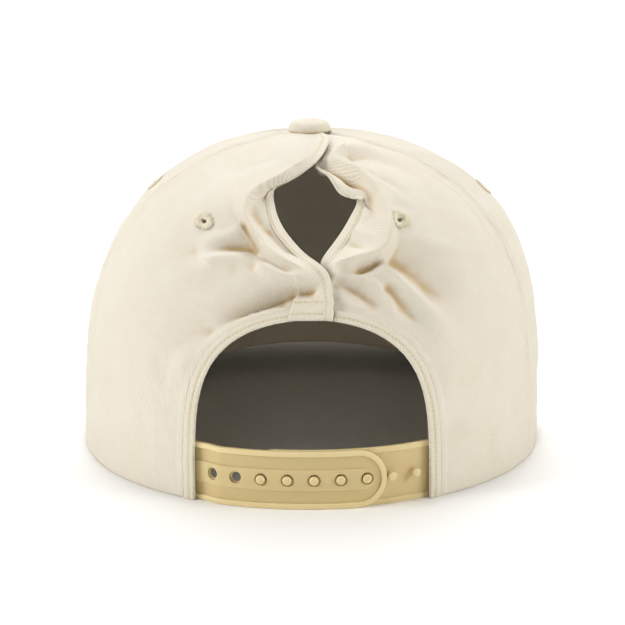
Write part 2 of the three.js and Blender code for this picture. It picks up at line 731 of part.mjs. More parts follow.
function fromSolid(solid) {
  const mesh = solid.getMesh();
  const geometry = new THREE.BufferGeometry();
  geometry.setAttribute('position', new THREE.BufferAttribute(mesh.vertProperties, 3));
  geometry.setIndex(new THREE.BufferAttribute(mesh.triVerts, 1));
  return geometry;
}

function bored(geometry, eyelet) {
  return fromSolid(toSolid(geometry).subtract(toSolid(eyeletBore(eyelet))));
}

// Strap spots are laid off along the crown's lower edge, from the centre back towards +X.
function strapPoint(along, height, out) {
  let angle = along / halfDepth;
  for (let i = 0; i < 4; i += 1) {
    angle = along / Math.hypot(halfWidth * Math.cos(angle / 2), halfDepth * Math.sin(angle / 2));
  }
  const point = crownPoint(angle, 0, out);
  return new THREE.Vector3(point.x, point.y, height);
}

// How far each strap lies behind the crown's surface: the ends are tucked in behind the bound edges.
function outerStrapDepth(along) {
  return -strapInset - 2 * ease((-along - 24) / 17);
}

function innerStrapDepth(along) {
  return -strapInset - strapThickness - touchGap - 0.3 * ease((along - 30) / 10);
}

// Plate that starts square at one place along the rim and ends round at the other.
function strapPlate(from, to, depth) {
  const steps = 16;
  const roundSteps = 7;
  const lastTurn = THREE.MathUtils.degToRad(84);
  const radius = strapHeight / 2;
  const sign = Math.sign(to - from);
  const stations = [];
  const straight = to - sign * radius;
  for (let i = 0; i <= steps; i += 1) {
    stations.push({ along: THREE.MathUtils.lerp(from, straight, i / steps), half: radius });
  }
  for (let i = 1; i <= roundSteps; i += 1) {
    const turn = (lastTurn * i) / roundSteps;
    stations.push({ along: straight + sign * radius * Math.sin(turn), half: radius * Math.cos(turn) });
  }
  const rings = stations.map(({ along, half }) => {
    const out = depth(along);
    return [
      strapPoint(along, radius - half, out), strapPoint(along, radius + half, out),
      strapPoint(along, radius + half, out - strapThickness),
      strapPoint(along, radius - half, out - strapThickness),
    ];
  });
  return loftRings(rings);
}

function strapPin(along, low, high, radius) {
  const base = strapPoint(along, strapHeight / 2, low);
  const top = strapPoint(along, strapHeight / 2, high);
  const pin = new THREE.CylinderGeometry(radius, radius, base.distanceTo(top), 10);
  const axis = top.clone().sub(base).normalize();
  pin.applyQuaternion(new THREE.Quaternion().setFromUnitVectors(new THREE.Vector3(0, 1, 0), axis));
  const middle = base.lerp(top, 0.5);
  return pin.translate(middle.x, middle.y, middle.z);
}

function outerStrapGeometry() {
  let strap = toSolid(strapPlate(-strapHiddenEnd, outerStrapEnd, outerStrapDepth));
  for (let i = 0; i < strapCount; i += 1) {
    const along = firstHole + i * strapPitch;
    const out = outerStrapDepth(along);
    strap = strap.subtract(toSolid(strapPin(along, out - strapThickness - 1, out + 1, strapHoleRadius)));
  }
  return fromSolid(strap);
}

function innerStrapGeometry() {
  let strap = toSolid(strapPlate(strapHiddenEnd, innerStrapEnd, innerStrapDepth));
  for (let i = 0; i < strapCount; i += 1) {
    const along = firstPeg + i * strapPitch;
    const out = innerStrapDepth(along);
    strap = strap.add(toSolid(strapPin(along, out - strapThickness / 2, out + pegHeight, pegRadius)));
  }
  return fromSolid(strap);
}

const cap = new THREE.Group();

function addPiece(name, geometry, colour, roughness = 0.95) {
  const material = new THREE.MeshStandardMaterial({ color: colour, roughness, metalness: 0 });
  material.name = name;
  const mesh = new THREE.Mesh(geometry, material);
  mesh.name = name;
  cap.add(mesh);
  return mesh;
}

const [backLeft, backRight, sideLeft, sideRight] = eyelets;
const { backLeft: seamBackLeft, backRight: seamBackRight, frontLeft, frontRight } = seamAngles;
addPiece('back_panel_left', bored(backPanelGeometry(-1, leftLip), backLeft), colours.cloth);
addPiece('back_panel_right', bored(backPanelGeometry(1, rightLip), backRight), colours.cloth);
const leftSide = plainPanelGeometry(frontLeft, seamBackLeft, 5);
addPiece('side_panel_left', bored(leftSide, sideLeft), colours.cloth);
const rightSide = plainPanelGeometry(seamBackRight, frontRight, 6);
addPiece('side_panel_right', bored(rightSide, sideRight), colours.cloth);
const front = plainPanelGeometry(frontRight, 2 * Math.PI + frontLeft, 14);
addPiece('front_panel', front, colours.cloth);
addPiece('arch_binding_left', bindingGeometry(-1), colours.hem);
addPiece('arch_binding_right', bindingGeometry(1), colours.hem);
addPiece('ponytail_hem_left', hemGeometry(leftLip, 0, leftLip.length - 1), colours.hem);
addPiece('ponytail_hem_right', hemGeometry(rightLip, 4, 19), colours.hem);
addPiece('sweatband', sweatbandGeometry(), colours.sweat);
addPiece('brim', brimGeometry(), colours.cloth);
addPiece('front_rope', ropeGeometry(), colours.rope, 0.8);
addPiece('snap_strap_outer', outerStrapGeometry(), colours.strap, 0.5);
addPiece('snap_strap_inner', innerStrapGeometry(), colours.strap, 0.5);
for (const eyelet of eyelets) {
  addPiece(eyelet.name, eyeletGeometry(eyelet), colours.hem);
}
const button = addPiece('top_button', buttonGeometry(), colours.cloth);
button.geometry.translate(0, 0, crownHeight + buttonLift);

// The origin is the middle of the footprint, on the table.
const middle = new THREE.Box3().setFromObject(cap).getCenter(new THREE.Vector3());
for (const piece of cap.children) {
  piece.geometry.translate(-middle.x, -middle.y, 0);
}

export default cap;
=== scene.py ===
import math

import bmesh
import bpy
import numpy as np
from bpy.props import FloatProperty, FloatVectorProperty, IntProperty, PointerProperty
from mathutils import Matrix, Vector
from mathutils.kdtree import KDTree


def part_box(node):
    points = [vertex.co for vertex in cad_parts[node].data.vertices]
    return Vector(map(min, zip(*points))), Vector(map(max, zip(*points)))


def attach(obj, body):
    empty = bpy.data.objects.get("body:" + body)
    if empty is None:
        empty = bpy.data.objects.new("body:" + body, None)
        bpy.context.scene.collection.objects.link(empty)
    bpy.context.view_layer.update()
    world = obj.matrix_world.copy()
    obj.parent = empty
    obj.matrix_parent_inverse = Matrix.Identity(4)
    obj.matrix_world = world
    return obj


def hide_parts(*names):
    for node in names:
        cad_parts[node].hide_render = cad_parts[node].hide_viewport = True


bl_info = {
    "name": "Rope cap",
    "version": (1, 0, 0),
    "blender": (4, 5, 0),
    "location": "View3D > Sidebar > Rope cap",
    "description": "Cloth, hems, strap, rope and stitching of a rope cap over its solid model",
    "category": "Add Mesh",
}

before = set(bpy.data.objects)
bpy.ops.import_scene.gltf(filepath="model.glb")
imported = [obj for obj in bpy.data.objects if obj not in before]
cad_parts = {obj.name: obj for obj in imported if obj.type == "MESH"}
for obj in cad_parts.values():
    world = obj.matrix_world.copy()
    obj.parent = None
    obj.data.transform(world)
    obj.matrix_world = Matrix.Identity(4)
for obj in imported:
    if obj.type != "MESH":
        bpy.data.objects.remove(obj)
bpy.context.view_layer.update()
MM = 0.001

# Crown, in millimetres like all lengths up to make_mesh. Its shape, the lip rows and the folds repeat those of
# the solid model.
HALF_WIDTH = 88.0
HALF_DEPTH = 101.0
CROWN_HEIGHT = 119.0
TAPE_LENGTH = 172.0
TOP_RISE = 166.8
FULLNESS = {"back": 3.0, "left": 3.13, "right": 3.87, "front": 4.2}
CLOTH_THICKNESS = 1.1
SEAM_OVERLAP = 0.12
SEWN_RISES = (3, 160)
SEAMS = {"back_left": -79.0, "back_right": 69.0, "front_left": -122.0, "front_right": 122.0}

# Arch over the strap, with its binding
ARCH_HALF_WIDTH = 42.0
ARCH_RISE = 72.5
ARCH_SQUARENESS = 4.2
BAND_WIDTH = 4.3
ARCH_RIDGE = 5.0
ARCH_FOOT = 11.0
ARCH_REACH = {"from": 0.3, "length": 0.5, "least": 0.15}
ARCH_SHARES = [0, 0.04, 0.09, 0.15, 0.23, 0.32, 0.42, 0.54, 0.67, 0.8]
CROSSING_SHARE = 0.92
CROSSING_EDGE = 7.6
LAST_ARCH_SEAM = 67.0
ARCH_CROWDING = 1.15
FIELD_CROWDING = 1.25
FOOT_FADE = 2.3
FIELD_BOW = 1.5
FACING_CURVE = 1.7
ROLL_CURVE = 0.62
FOLD_RIM = {"edge": 4.0, "seam": 9.0, "hem": 12.0}

# Brim
BRIM_THICKNESS = 3.2
BRIM_HALF_ANGLE = math.radians(72)
BRIM_BLEND_ANGLE = math.radians(34)
BRIM_BOW = 277.0
BRIM_SLOPE = 0.06
BRIM_FRONT = 170.0
BRIM_POINTS = np.array([(83.2, 31.0), (99.0, 105.0), (62.0, 170.0), (0.0, BRIM_FRONT)])
BRIM_GAP = 0.6
BRIM_STITCH_ROWS = 8
FIRST_BRIM_ROW = 4.5

# Sweatband, strap, rope, button and eyelets
SWEAT_HEIGHT = 30.0
SWEAT_THICKNESS = 1.2
SWEAT_STITCH_HEIGHT = 26
STRAP_HEIGHT = 21.0
STRAP_INSET = 0.2
STRAP_THICKNESS = 1.4
STRAP_COUNT = 7
FIRST_HOLE = -37.3
FIRST_PEG = -18.4
STRAP_HIDDEN_END = 54.0
OUTER_STRAP_END = 27.0
INNER_STRAP_END = -24.0
STRAP_RIM = 2.0
HOLE_RADIUS = 2.25
HOLE_BOTTOM_RADIUS = 1.72
# Raised band round the holes: half its height, and its distance from the strap's end
HOLE_BAND = (3.9, 4.8)
# Profile of a peg, as radius and height over the inner strap
PEG_PROFILE = [
    (0, -0.8), (1.3, -0.8), (1.25, 1.0), (1.45, 1.5), (1.66, 1.9), (1.6, 2.4), (1.3, 2.75),
    (0.85, 2.9), (0.75, 2.8), (0.65, 2.9), (0.3, 2.95), (0, 2.95),
]
ROPE_HALF_ANGLE = math.radians(61)
ROPE_STRANDS = 3
STRAND_SHARE = 0.52
# Profile of the button, as radius and height over the crown
BUTTON_PROFILE = [
    (0, -2.6), (5.2, -2.6), (5.2, -0.1), (6.2, -0.2), (7.3, 0.1), (7.85, 0.6), (8.0, 1.3), (8.0, 2.1),
    (7.75, 2.9), (7.2, 3.6), (6.3, 4.15), (5.1, 4.5), (3.6, 4.75), (1.8, 4.9), (0.0, 4.95),
]
BUTTON_LIFT = 0.2
BUTTON_SIDES = 72

# The crown's centre lies behind the middle of the footprint, which the brim lengthens.
CROWN_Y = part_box("brim")[1][1] / MM - BRIM_FRONT

# Rows of the ponytail opening's lip: free edge, ridge and foot, each as across, rise and out, then the
# width of the hem band and where the row meets the side seam.
LEFT_LIP = np.array([
    (7.6, 77.0, 1.5, 0.8, 77.6, 0.5, -6.0, 79.2, 0.2, 3.4, 70.0),
    (7.6, 80.4, 1.5, 0.8, 80.6, 0.5, -5.6, 81.0, 0.2, 3.4, 73.0),
    (7.4, 84.2, 1.4, 0.8, 83.8, 0.8, -4.4, 83.6, 0.6, 3.4, 76.0),
    (6.8, 88.2, 1.3, 0.6, 87.0, 2.0, -3.4, 86.0, 2.0, 3.4, 79.0),
    (5.4, 91.4, 1.0, -0.6, 89.5, 2.9, -4.2, 87.9, 2.2, 3.6, 82.0),
    (2.9, 94.2, 0.3, -4.2, 92.0, 3.8, -7.4, 89.8, 1.4, 4.0, 85.5),
    (0.3, 97.1, -1.0, -9.0, 94.4, 4.6, -12.0, 92.0, 0.8, 4.3, 89.0),
    (-2.7, 100.5, -2.0, -13.4, 97.2, 5.1, -16.2, 95.2, 0.0, 4.3, 92.5),
    (-6.0, 105.2, -2.8, -17.2, 100.8, 5.5, -20.0, 98.9, -1.0, 4.3, 96.5),
    (-9.4, 110.7, -3.2, -20.0, 104.8, 5.9, -22.9, 103.4, -1.4, 4.3, 101.0),
    (-12.0, 117.0, -3.4, -21.8, 109.0, 6.1, -25.2, 108.2, -0.6, 4.3, 106.0),
    (-13.3, 123.4, -3.2, -22.3, 113.6, 5.9, -27.0, 114.2, 1.6, 4.3, 111.5),
    (-13.7, 128.4, -2.9, -21.3, 118.0, 5.2, -27.0, 120.4, 2.2, 4.3, 118.0),
    (-12.3, 131.5, -2.3, -18.8, 123.3, 4.7, -25.0, 127.0, 1.7, 3.2, 124.5),
    (-9.2, 132.6, -1.6, -15.4, 127.5, 4.0, -21.6, 132.4, 1.2, 2.3, 131.0),
    (-5.8, 134.7, -1.2, -11.0, 131.8, 3.4, -17.0, 137.4, 0.8, 2.1, 137.0),
    (-2.4, 138.0, -0.8, -7.2, 136.0, 2.8, -13.0, 141.8, 0.6, 2.1, 142.5),
    (1.8, 142.9, -0.2, -3.0, 141.8, 2.1, -9.0, 146.8, 1.0, 2.5, 147.5),
    (5.2, 149.2, 0.6, 0.4, 149.6, 1.3, -6.0, 152.4, 1.0, 3.2, 153.0),
    (7.5, 159.6, 0.9, 2.8, 160.2, 1.0, -3.0, 160.8, 0.7, 3.2, 161.0),
    (5.1, 166.8, 0.6, 1.6, 166.8, 0.5, -1.6, 166.8, 0.3, 2.8, 166.8),
])
RIGHT_LIP = np.array([
    (4.4, 77.0, -1.6, 11.5, 78.4, -0.3, 18.0, 79.2, 0.0, 0, 70.0),
    (4.4, 80.6, -1.6, 11.5, 81.2, -0.3, 18.0, 81.6, 0.0, 0, 73.0),
    (4.2, 84.6, -1.8, 11.0, 84.4, -0.4, 17.0, 84.0, 0.0, 0, 76.0),
    (4.0, 88.6, -2.2, 9.4, 87.8, 0.2, 13.4, 86.2, 0.0, 0, 79.5),
    (3.6, 92.6, -2.6, 8.2, 91.6, 1.4, 11.2, 88.2, 0.0, 1.8, 83.0),
    (3.5, 96.2, -2.6, 10.2, 94.6, 2.8, 12.8, 89.8, 0.0, 3.4, 87.0),
    (5.4, 100.2, -2.8, 15.0, 95.5, 3.9, 16.2, 90.9, -0.6, 4.3, 91.0),
    (8.2, 104.6, -3.0, 20.0, 96.3, 4.7, 20.6, 92.0, -0.8, 4.3, 94.0),
    (10.9, 109.2, -3.2, 24.2, 97.6, 5.4, 26.6, 94.6, -0.8, 4.3, 97.5),
    (13.2, 113.8, -3.4, 26.8, 100.8, 6.0, 30.0, 99.4, 0.6, 4.3, 101.5),
    (15.2, 118.4, -3.6, 27.6, 105.4, 6.4, 30.8, 104.6, 1.2, 4.3, 106.5),
    (17.0, 122.8, -3.7, 27.4, 109.8, 6.4, 30.8, 110.2, 1.4, 4.3, 111.5),
    (17.4, 126.4, -3.6, 26.8, 114.2, 6.1, 30.4, 115.6, 1.6, 4.3, 116.5),
    (15.6, 126.8, -3.4, 25.8, 118.8, 5.6, 29.8, 121.2, 1.3, 4.3, 121.5),
    (12.6, 127.2, -3.1, 24.2, 123.8, 4.9, 29.4, 126.8, 1.2, 2.2, 126.5),
    (10.2, 129.4, -2.7, 21.8, 128.4, 4.8, 27.2, 132.2, 0.6, 1.4, 131.5),
    (8.2, 133.6, -2.2, 18.8, 133.0, 4.4, 24.0, 137.2, 0.0, 1.3, 137.0),
    (6.2, 137.6, -1.8, 15.2, 137.6, 3.8, 19.8, 142.2, -0.5, 1.3, 142.6),
    (3.6, 140.6, -1.9, 11.4, 141.6, 3.1, 15.8, 146.8, -0.7, 1.3, 148.2),
    (1.6, 143.8, -2.2, 8.6, 146.0, 2.1, 12.6, 151.0, -0.5, 1.3, 153.4),
    (1.8, 150.6, -2.2, 8.8, 153.0, 0.2, 13.8, 156.6, 0.0, 0, 158.0),
    (3.4, 161.0, -0.6, 7.0, 161.8, 0.6, 9.6, 162.4, 0.3, 0, 162.8),
    (0.6, 166.8, -0.2, 3.2, 166.8, 0.8, 4.7, 166.8, 0.5, 0, 166.8),
])
# First and last lip row with a hem, left and right
HEM_ROWS = {-1: (0, len(LEFT_LIP) - 1), 1: (4, 19)}
# Where the hem stitches end: the height on the ponytail opening, and across on the right of the arch
HEM_STITCHES_END = 105.0
ARCH_STITCHES_END = 7.4

# Folds thrown by the gathered crossing: from, past and to as across and rise, then height and half width.
# The broad ones are also in the solid model, the narrow ones are creases beside them.
FOLDS = [
    (-23.0, 108.4, -30.8, 103.6, -41.0, 98.6, 2.8, 3.0),
    (-17.6, 99.6, -25.5, 101.8, -39.0, 97.6, -3.8, 2.9),
    (-23.8, 110.4, -21.4, 105.4, -16.5, 100.1, -4.6, 1.6),
    (-38.0, 91.5, -29.0, 95.6, -19.0, 95.0, 3.2, 3.0),
    (-17.0, 97.4, -12.6, 92.6, -6.0, 89.6, -0.6, 1.6),
    (-17.5, 93.2, -9.5, 88.6, 3.0, 88.0, 3.8, 2.7),
    (4.0, 84.6, -1.5, 83.7, -8.0, 85.4, -4.0, 1.5),
    (-5.0, 83.0, -16.0, 79.4, -36.0, 67.0, -6.4, 3.8),
    (-8.0, 79.0, -22.0, 72.0, -44.0, 55.0, -3.2, 6.0),
    (-34.0, 68.0, -48.0, 59.0, -54.5, 35.0, -2.2, 6.5),
    (-31.0, 58.5, -42.0, 54.5, -54.0, 48.0, 1.9, 4.6),
    (-40.0, 97.5, -50.0, 92.0, -58.0, 82.0, -1.1, 4.0),
    (-24.0, 128.0, -33.0, 121.0, -41.0, 110.0, -0.8, 4.0),
    (23.6, 94.0, 33.5, 83.8, 50.0, 63.0, 3.8, 3.0),
    (28.0, 97.2, 38.5, 89.2, 52.0, 72.0, -3.8, 5.2),
    (7.0, 91.4, 14.5, 88.4, 22.5, 91.6, 2.0, 1.9),
    (24.4, 95.0, 19.4, 92.9, 15.2, 90.8, -4.2, 1.7),
    (19.0, 87.4, 25.0, 82.0, 30.6, 70.0, 2.3, 2.4),
    (8.0, 89.0, 15.4, 84.2, 27.0, 74.4, -3.2, 3.4),
    (26.5, 85.6, 32.4, 77.6, 42.0, 64.0, -2.4, 3.8),
    (8.5, 82.0, 17.0, 76.6, 26.0, 67.5, 1.4, 2.2),
    (29.5, 99.6, 40.0, 98.6, 56.0, 91.5, -0.9, 1.6),
    (31.0, 103.0, 42.0, 101.0, 58.0, 93.0, 0.8, 3.0),
    (9.8, 148.6, 21.5, 150.2, 46.0, 129.0, 2.3, 3.2),
    (13.7, 146.6, 25.0, 144.4, 42.0, 127.5, -1.7, 3.6),
    (20.4, 136.5, 28.0, 131.4, 38.0, 119.5, -1.6, 2.6),
    (28.6, 118.3, 33.0, 117.4, 40.0, 113.9, -0.7, 2.4),
    (-10.0, 146.0, -22.0, 140.0, -34.0, 128.0, -1.0, 3.4),
]
# Folds of the facings, inside the lips: the same columns
FACING_FOLDS = [
    (3.2, 144.8, 11.8, 137.8, 21.6, 124.6, -4.6, 1.9),
    (13.6, 135.2, 21.6, 126.2, 21.8, 112.0, -3.8, 1.9),
    (4.0, 141.6, 8.6, 134.8, 14.6, 128.0, 1.6, 1.5),
    (16.6, 121.8, 20.6, 117.6, 18.0, 113.6, 1.8, 1.5),
    (14.6, 112.4, 18.6, 107.6, 23.0, 102.6, 1.0, 1.6),
    (12.6, 106.0, 16.6, 101.6, 21.0, 99.0, -0.9, 1.8),
    (-4.4, 139.4, -12.0, 133.4, -17.6, 122.0, -2.0, 1.3),
    (-16.4, 126.4, -20.4, 116.0, -12.0, 104.6, -2.4, 2.0),
    (-16.6, 110.0, -10.4, 102.0, -3.0, 97.0, -1.7, 1.8),
]

# Eyelets: name, angle round the crown or None, across or None, rise
EYELETS = [
    ("eyelet_back_left", None, -38.4, 109.4),
    ("eyelet_back_right", None, 31.7, 111.0),
    ("eyelet_side_left", -98.0, None, 113.0),
    ("eyelet_side_right", 96.0, None, 113.0),
]
EYELET_OUTER = 4.3
EYELET_HOLE = 0.95
EYELET_CUT = 1.5
# Width and height of the thread round an eyelet
EYELET_THREAD = (0.62, 0.75)
# Cross-section of an eyelet's ring, as radius and height over the cloth
EYELET_SECTION = [(EYELET_HOLE, -1.4), (EYELET_HOLE, 0.1), (1.3, 0.45), (2.3, 0.5), (3.2, 0.3), (3.6, -0.3)]

# The view of the photograph: the crown squarely from behind and a little from above
VIEW_HEIGHT = 48.1
VIEW_DISTANCE = 920.0
VIEW_ELEVATION = 12.9
VIEW_ROLL = -0.4
LENS = 136.15
SHIFT = 0.0024
FLOOR_RADIUS = 6000
# Lights, in metres and watts: name, place, spot that it points at, width, power and tint
LIGHTS = [
    ("left", (-1.8, -0.6, 0.9), (0, 0, 0.06), 1.2, 28, (1.0, 0.985, 0.93)),
    ("right", (1.8, -0.6, 0.9), (0, 0, 0.06), 1.2, 24.5, (1.0, 0.98, 0.91)),
    ("back", (0, 1.2, 2.2), (0, 0, 0.06), 2.0, 38, (0.985, 0.99, 1.0)),
    ("top", (0, -0.2, 2.2), (0, 0, 0.06), 1.0, 11, (1.0, 0.995, 0.99)),
    ("camera_side", (0, -2.2, 0.5), (0, 0, 0.06), 1.5, 6.5, (1.0, 0.98, 0.93)),
    ("far_floor", (0, 2.4, 1.7), (0, 2.9, 0), 2.4, 60, (1.0, 1.0, 1.0)),
]


def linear(code):
    """Linear colour of an sRGB hex code."""
    values = [int(code[i : i + 2], 16) / 255 for i in (1, 3, 5)]
    return [v / 12.92 if v <= 0.04045 else ((v + 0.055) / 1.055) ** 2.4 for v in values]


def colour(name, code, about):
    return FloatVectorProperty(
        name=name, description=about, subtype="COLOR", size=3, min=0, max=1, default=linear(code)
    )


def size(name, millimetres, about):
    return FloatProperty(
        name=name, description=about, unit="LENGTH", min=0, default=millimetres * MM, precision=5
    )


class CapSizes(bpy.types.PropertyGroup):
    """Sizes of the parts that repeat."""

    stitch_pitch: size("Stitch spacing", 1.7, "Distance from one topstitch to the next")
    stitch_length: size("Stitch length", 1.25, "Length of a topstitch that shows")
    thread: size("Thread", 0.4, "Thickness of the sewing thread")
    seam_rows: size("Seam rows", 3.1, "Distance of the topstitch rows from the seams")
    hole_pitch: size("Strap holes", 9.5, "Distance between the strap's holes")
    rope: size("Rope", 5.0, "Diameter of the rope")
    rope_lay: size("Rope lay", 16.0, "Length in which a strand goes once round")
    brim_row: size("Brim rows", 6.5, "Distance between the brim's stitch rows")
    eyelet_threads: IntProperty(
        name="Eyelet threads", description="Stitches round an eyelet", min=8, default=26
    )
    seed: IntProperty(name="Seed", description="Seed of everything uneven", default=7)


class CapColours(bpy.types.PropertyGroup):
    """Colours of the finishes."""

    cloth: colour("Cloth", "#ebe4d6", "Washed cotton twill")
    # Painted shade: the darker, warmer twill that the cloth is mixed towards in folds, along stitch rows and
    # at the foot of the button, and a little with the wash's cloudiness.
    cloth_wash_and_painted_shade: colour("Cloth shade", "#cdb182", "The same twill deep in its folds")
    hem: colour("Hem", "#ebe4d4", "Folded twill along the hems")
    sweat: colour("Sweatband", "#e6ddca", "Cotton band inside")
    # Painted light: a paler colour for the thin rims, the band round the holes and the pegs of the strap.
    strap: colour("Strap", "#d4be8a", "Moulded strap")
    strap_painted_light: colour("Strap rim", "#e7d4a1", "Thin rims and pegs of the strap")
    rope: colour("Rope", "#efe8d8", "Cotton rope")
    thread: colour("Thread", "#ece3cd", "Sewing thread")
    floor: colour("Floor", "#f6f6f6", "Studio floor")


def ease(share):
    """Eases from 0 to 1 with level ends."""
    share = np.clip(share, 0, 1)
    return share * share * (3 - 2 * share)


def mix(a, b, share):
    return a + (b - a) * share


def bezier(points, share):
    """Point on a cubic Bezier curve."""
    t = np.asarray(share, float)[..., None]
    a, b, c, d = points
    return a * (1 - t) ** 3 + 3 * b * t * (1 - t) ** 2 + 3 * c * t * t * (1 - t) + d * t**3


def brim_drop(x, y):
    return x * x / (2 * BRIM_BOW) + BRIM_SLOPE * (y - HALF_DEPTH)


def crest_height():
    line = bezier(BRIM_POINTS, np.linspace(0, 1, 61))
    return BRIM_THICKNESS + brim_drop(line[:, 0], line[:, 1]).max()


BRIM_CREST = crest_height()


def brim_top(x, y):
    return BRIM_CREST - brim_drop(x, y)


def rim_lift(angle):
    """Height of the crown's edge over the table: level at the back, over the brim at the front."""
    from_front = math.pi - np.abs(np.arctan2(np.sin(angle), np.cos(angle)))
    over = brim_top(HALF_WIDTH * np.sin(angle), -HALF_DEPTH * np.cos(angle)) + BRIM_GAP
    return over * (1 - ease((from_front - BRIM_HALF_ANGLE) / BRIM_BLEND_ANGLE))


def ring_at(angle, rise):
    """Shares of the rim's radius and of the crown's height that are left at a rise along the tape."""
    side_share = np.sin(angle) ** 2
    side = np.where(np.sin(angle) > 0, FULLNESS["right"], FULLNESS["left"])
    end = np.where(np.cos(angle) > 0, FULLNESS["back"], FULLNESS["front"])
    full = side_share * side + (1 - side_share) * end
    sweep = math.pi / 2 * (np.maximum(rise, 0) / TAPE_LENGTH) ** (full / 2)
    return np.cos(sweep), np.sin(sweep) ** (2 / full)


def dome_point(angle, rise):
    radius, height = ring_at(angle, rise)
    lift = rim_lift(angle)
    x = HALF_WIDTH * radius * np.sin(angle)
    y = CROWN_Y - HALF_DEPTH * radius * np.cos(angle)
    return np.stack([x, y, lift + height * (CROWN_HEIGHT - lift)], -1)


def unit(vectors):
    return vectors / np.maximum(np.linalg.norm(vectors, axis=-1, keepdims=True), 1e-9)


def dome_normal(angle, rise):
    step = 0.4
    turn = step / (HALF_WIDTH * np.maximum(ring_at(angle, rise)[0], 0.03))
    low = np.maximum(rise - step, 0)
    round_it = dome_point(angle + turn, rise) - dome_point(angle - turn, rise)
    along = dome_point(angle, low + 2 * step) - dome_point(angle, low)
    return unit(np.cross(round_it, along))


def crown(angle, rise, out):
    angle, rise, out = np.broadcast_arrays(angle, rise, out)
    return dome_point(angle, rise) + dome_normal(angle, rise) * out[..., None]


def angle_of(across, rise):
    """Angle of a point on the back half that lies across millimetres beside the centre line."""
    across, rise = np.broadcast_arrays(np.asarray(across, float), rise)
    angle = np.zeros_like(across)
    for _ in range(8):
        angle = np.arcsin(np.clip(across / (HALF_WIDTH * ring_at(angle, rise)[0]), -1, 1))
    return angle


def arch_spot(share):
    turn = math.pi / 2 * share
    return np.stack(
        [ARCH_HALF_WIDTH * np.cos(turn), ARCH_RISE * np.sin(turn) ** (2 / ARCH_SQUARENESS)], -1
    )


def lengths_along(points):
    """Length from the start of a line to each of its points."""
    return np.concatenate([[0], np.cumsum(np.linalg.norm(np.diff(points, axis=0), axis=1))])


def interpolated(at, given, rows):
    """Rows of numbers at places between the given ones, column by column."""
    return np.stack([np.interp(at, given, rows[:, k]) for k in range(rows.shape[1])], -1)


def beside_arch(share, side, distance):
    """Across, rise and out of a spot beside the arch. Share runs 0 to 2, from one foot to the other."""
    share = np.asarray(share, float)
    fold = np.where(share <= 1, 1.0, -1.0)
    local = np.where(share <= 1, share, 2 - share)
    spot = arch_spot(local)
    near, far = arch_spot(np.minimum(local + 0.01, 1)), arch_spot(np.maximum(local - 0.01, 0))
    away = unit(np.stack([near[..., 1] - far[..., 1], far[..., 0] - near[..., 0]], -1))
    spot = spot + away * np.asarray(distance, float)[..., None]
    rise = np.maximum(spot[..., 1], 0)
    return np.stack([side * fold * spot[..., 0], rise, np.zeros_like(rise)], -1)


# Length along the arch's edge against its share
ARC_SHARES = np.linspace(0, 1, 2001) ** 2
ARC_LENGTHS = lengths_along(arch_spot(ARC_SHARES))


def share_at_length(arc):
    """Share of the arch, 0 to 2, at a length along its edge."""
    back = 2 * ARC_LENGTHS[-1] - arc
    first, second = np.interp(arc, ARC_LENGTHS, ARC_SHARES), 2 - np.interp(back, ARC_LENGTHS, ARC_SHARES)
    return np.where(arc <= ARC_LENGTHS[-1], first, second)


def length_at_share(share):
    """Length along the arch's edge at a share of 0 to 2."""
    length = np.interp(min(share, 2 - share), ARC_SHARES, ARC_LENGTHS)
    return length if share <= 1 else 2 * ARC_LENGTHS[-1] - length


def fold_height(across, rise, folds):
    """Height of all folds at spots of the back panels."""
    total = np.zeros_like(across)
    steps = 14
    t = np.linspace(0, 1, steps + 1)[:, None]
    for *way, height, half_width in folds:
        start, past, end = np.array(way).reshape(3, 2)
        middle = 2 * past - (start + end) / 2
        line = start * (1 - t) ** 2 + 2 * middle * t * (1 - t) + end * t * t
        nearest = np.full_like(across, np.inf)
        place = np.zeros_like(across)
        for i in range(steps):
            run = line[i + 1] - line[i]
            x, y = across - line[i, 0], rise - line[i, 1]
            share = np.clip((x * run[0] + y * run[1]) / (run @ run), 0, 1)
            distance = np.hypot(x - share * run[0], y - share * run[1])
            closer = distance < nearest
            nearest = np.where(closer, distance, nearest)
            place = np.where(closer, (i + share) / steps, place)
        fade = ease(place * 6 + 0.4) * ease((1 - place) * 2.6 + 0.05)
        sharp = 1.9 if height > 0 else 1.35
        total += height * fade * np.exp(-((nearest / half_width) ** sharp))
    return total


def waves(u, v, wavelength, seed):
    """Smooth uneven heights from -1 to 1, about a wavelength from crest to crest."""
    heights = np.random.default_rng(seed).uniform(-1, 1, (64, 64))
    x, y = u / wavelength * 2 + 1000, v / wavelength * 2 + 1000
    i, j = np.floor(x).astype(int), np.floor(y).astype(int)
    a, b = ease(x - i), ease(y - j)
    low = mix(heights[i % 64, j % 64], heights[(i + 1) % 64, j % 64], a)
    high = mix(heights[i % 64, (j + 1) % 64], heights[(i + 1) % 64, (j + 1) % 64], a)
    return mix(low, high, b)


def catmull(rows, t):
    """Smooth curve through rows, at row numbers t."""
    i = np.clip(np.floor(t).astype(int), 0, len(rows) - 2)
    s = (t - i)[:, None]
    p0, p1 = rows[np.maximum(i - 1, 0)], rows[i]
    p2, p3 = rows[i + 1], rows[np.minimum(i + 2, len(rows) - 1)]
    return 0.5 * (
        2 * p1 + (p2 - p0) * s + (2 * p0 - 5 * p1 + 4 * p2 - p3) * s**2
        + (3 * p1 - p0 - 3 * p2 + p3) * s**3
    )


def grid_normals(points, like):
    """Normals of a grid of points, on the side that another set of normals points to."""
    rows, columns = np.gradient(points, axis=0), np.gradient(points, axis=1)
    normals = unit(np.cross(rows, columns))
    return normals * np.sign((normals * like).sum(-1).mean())


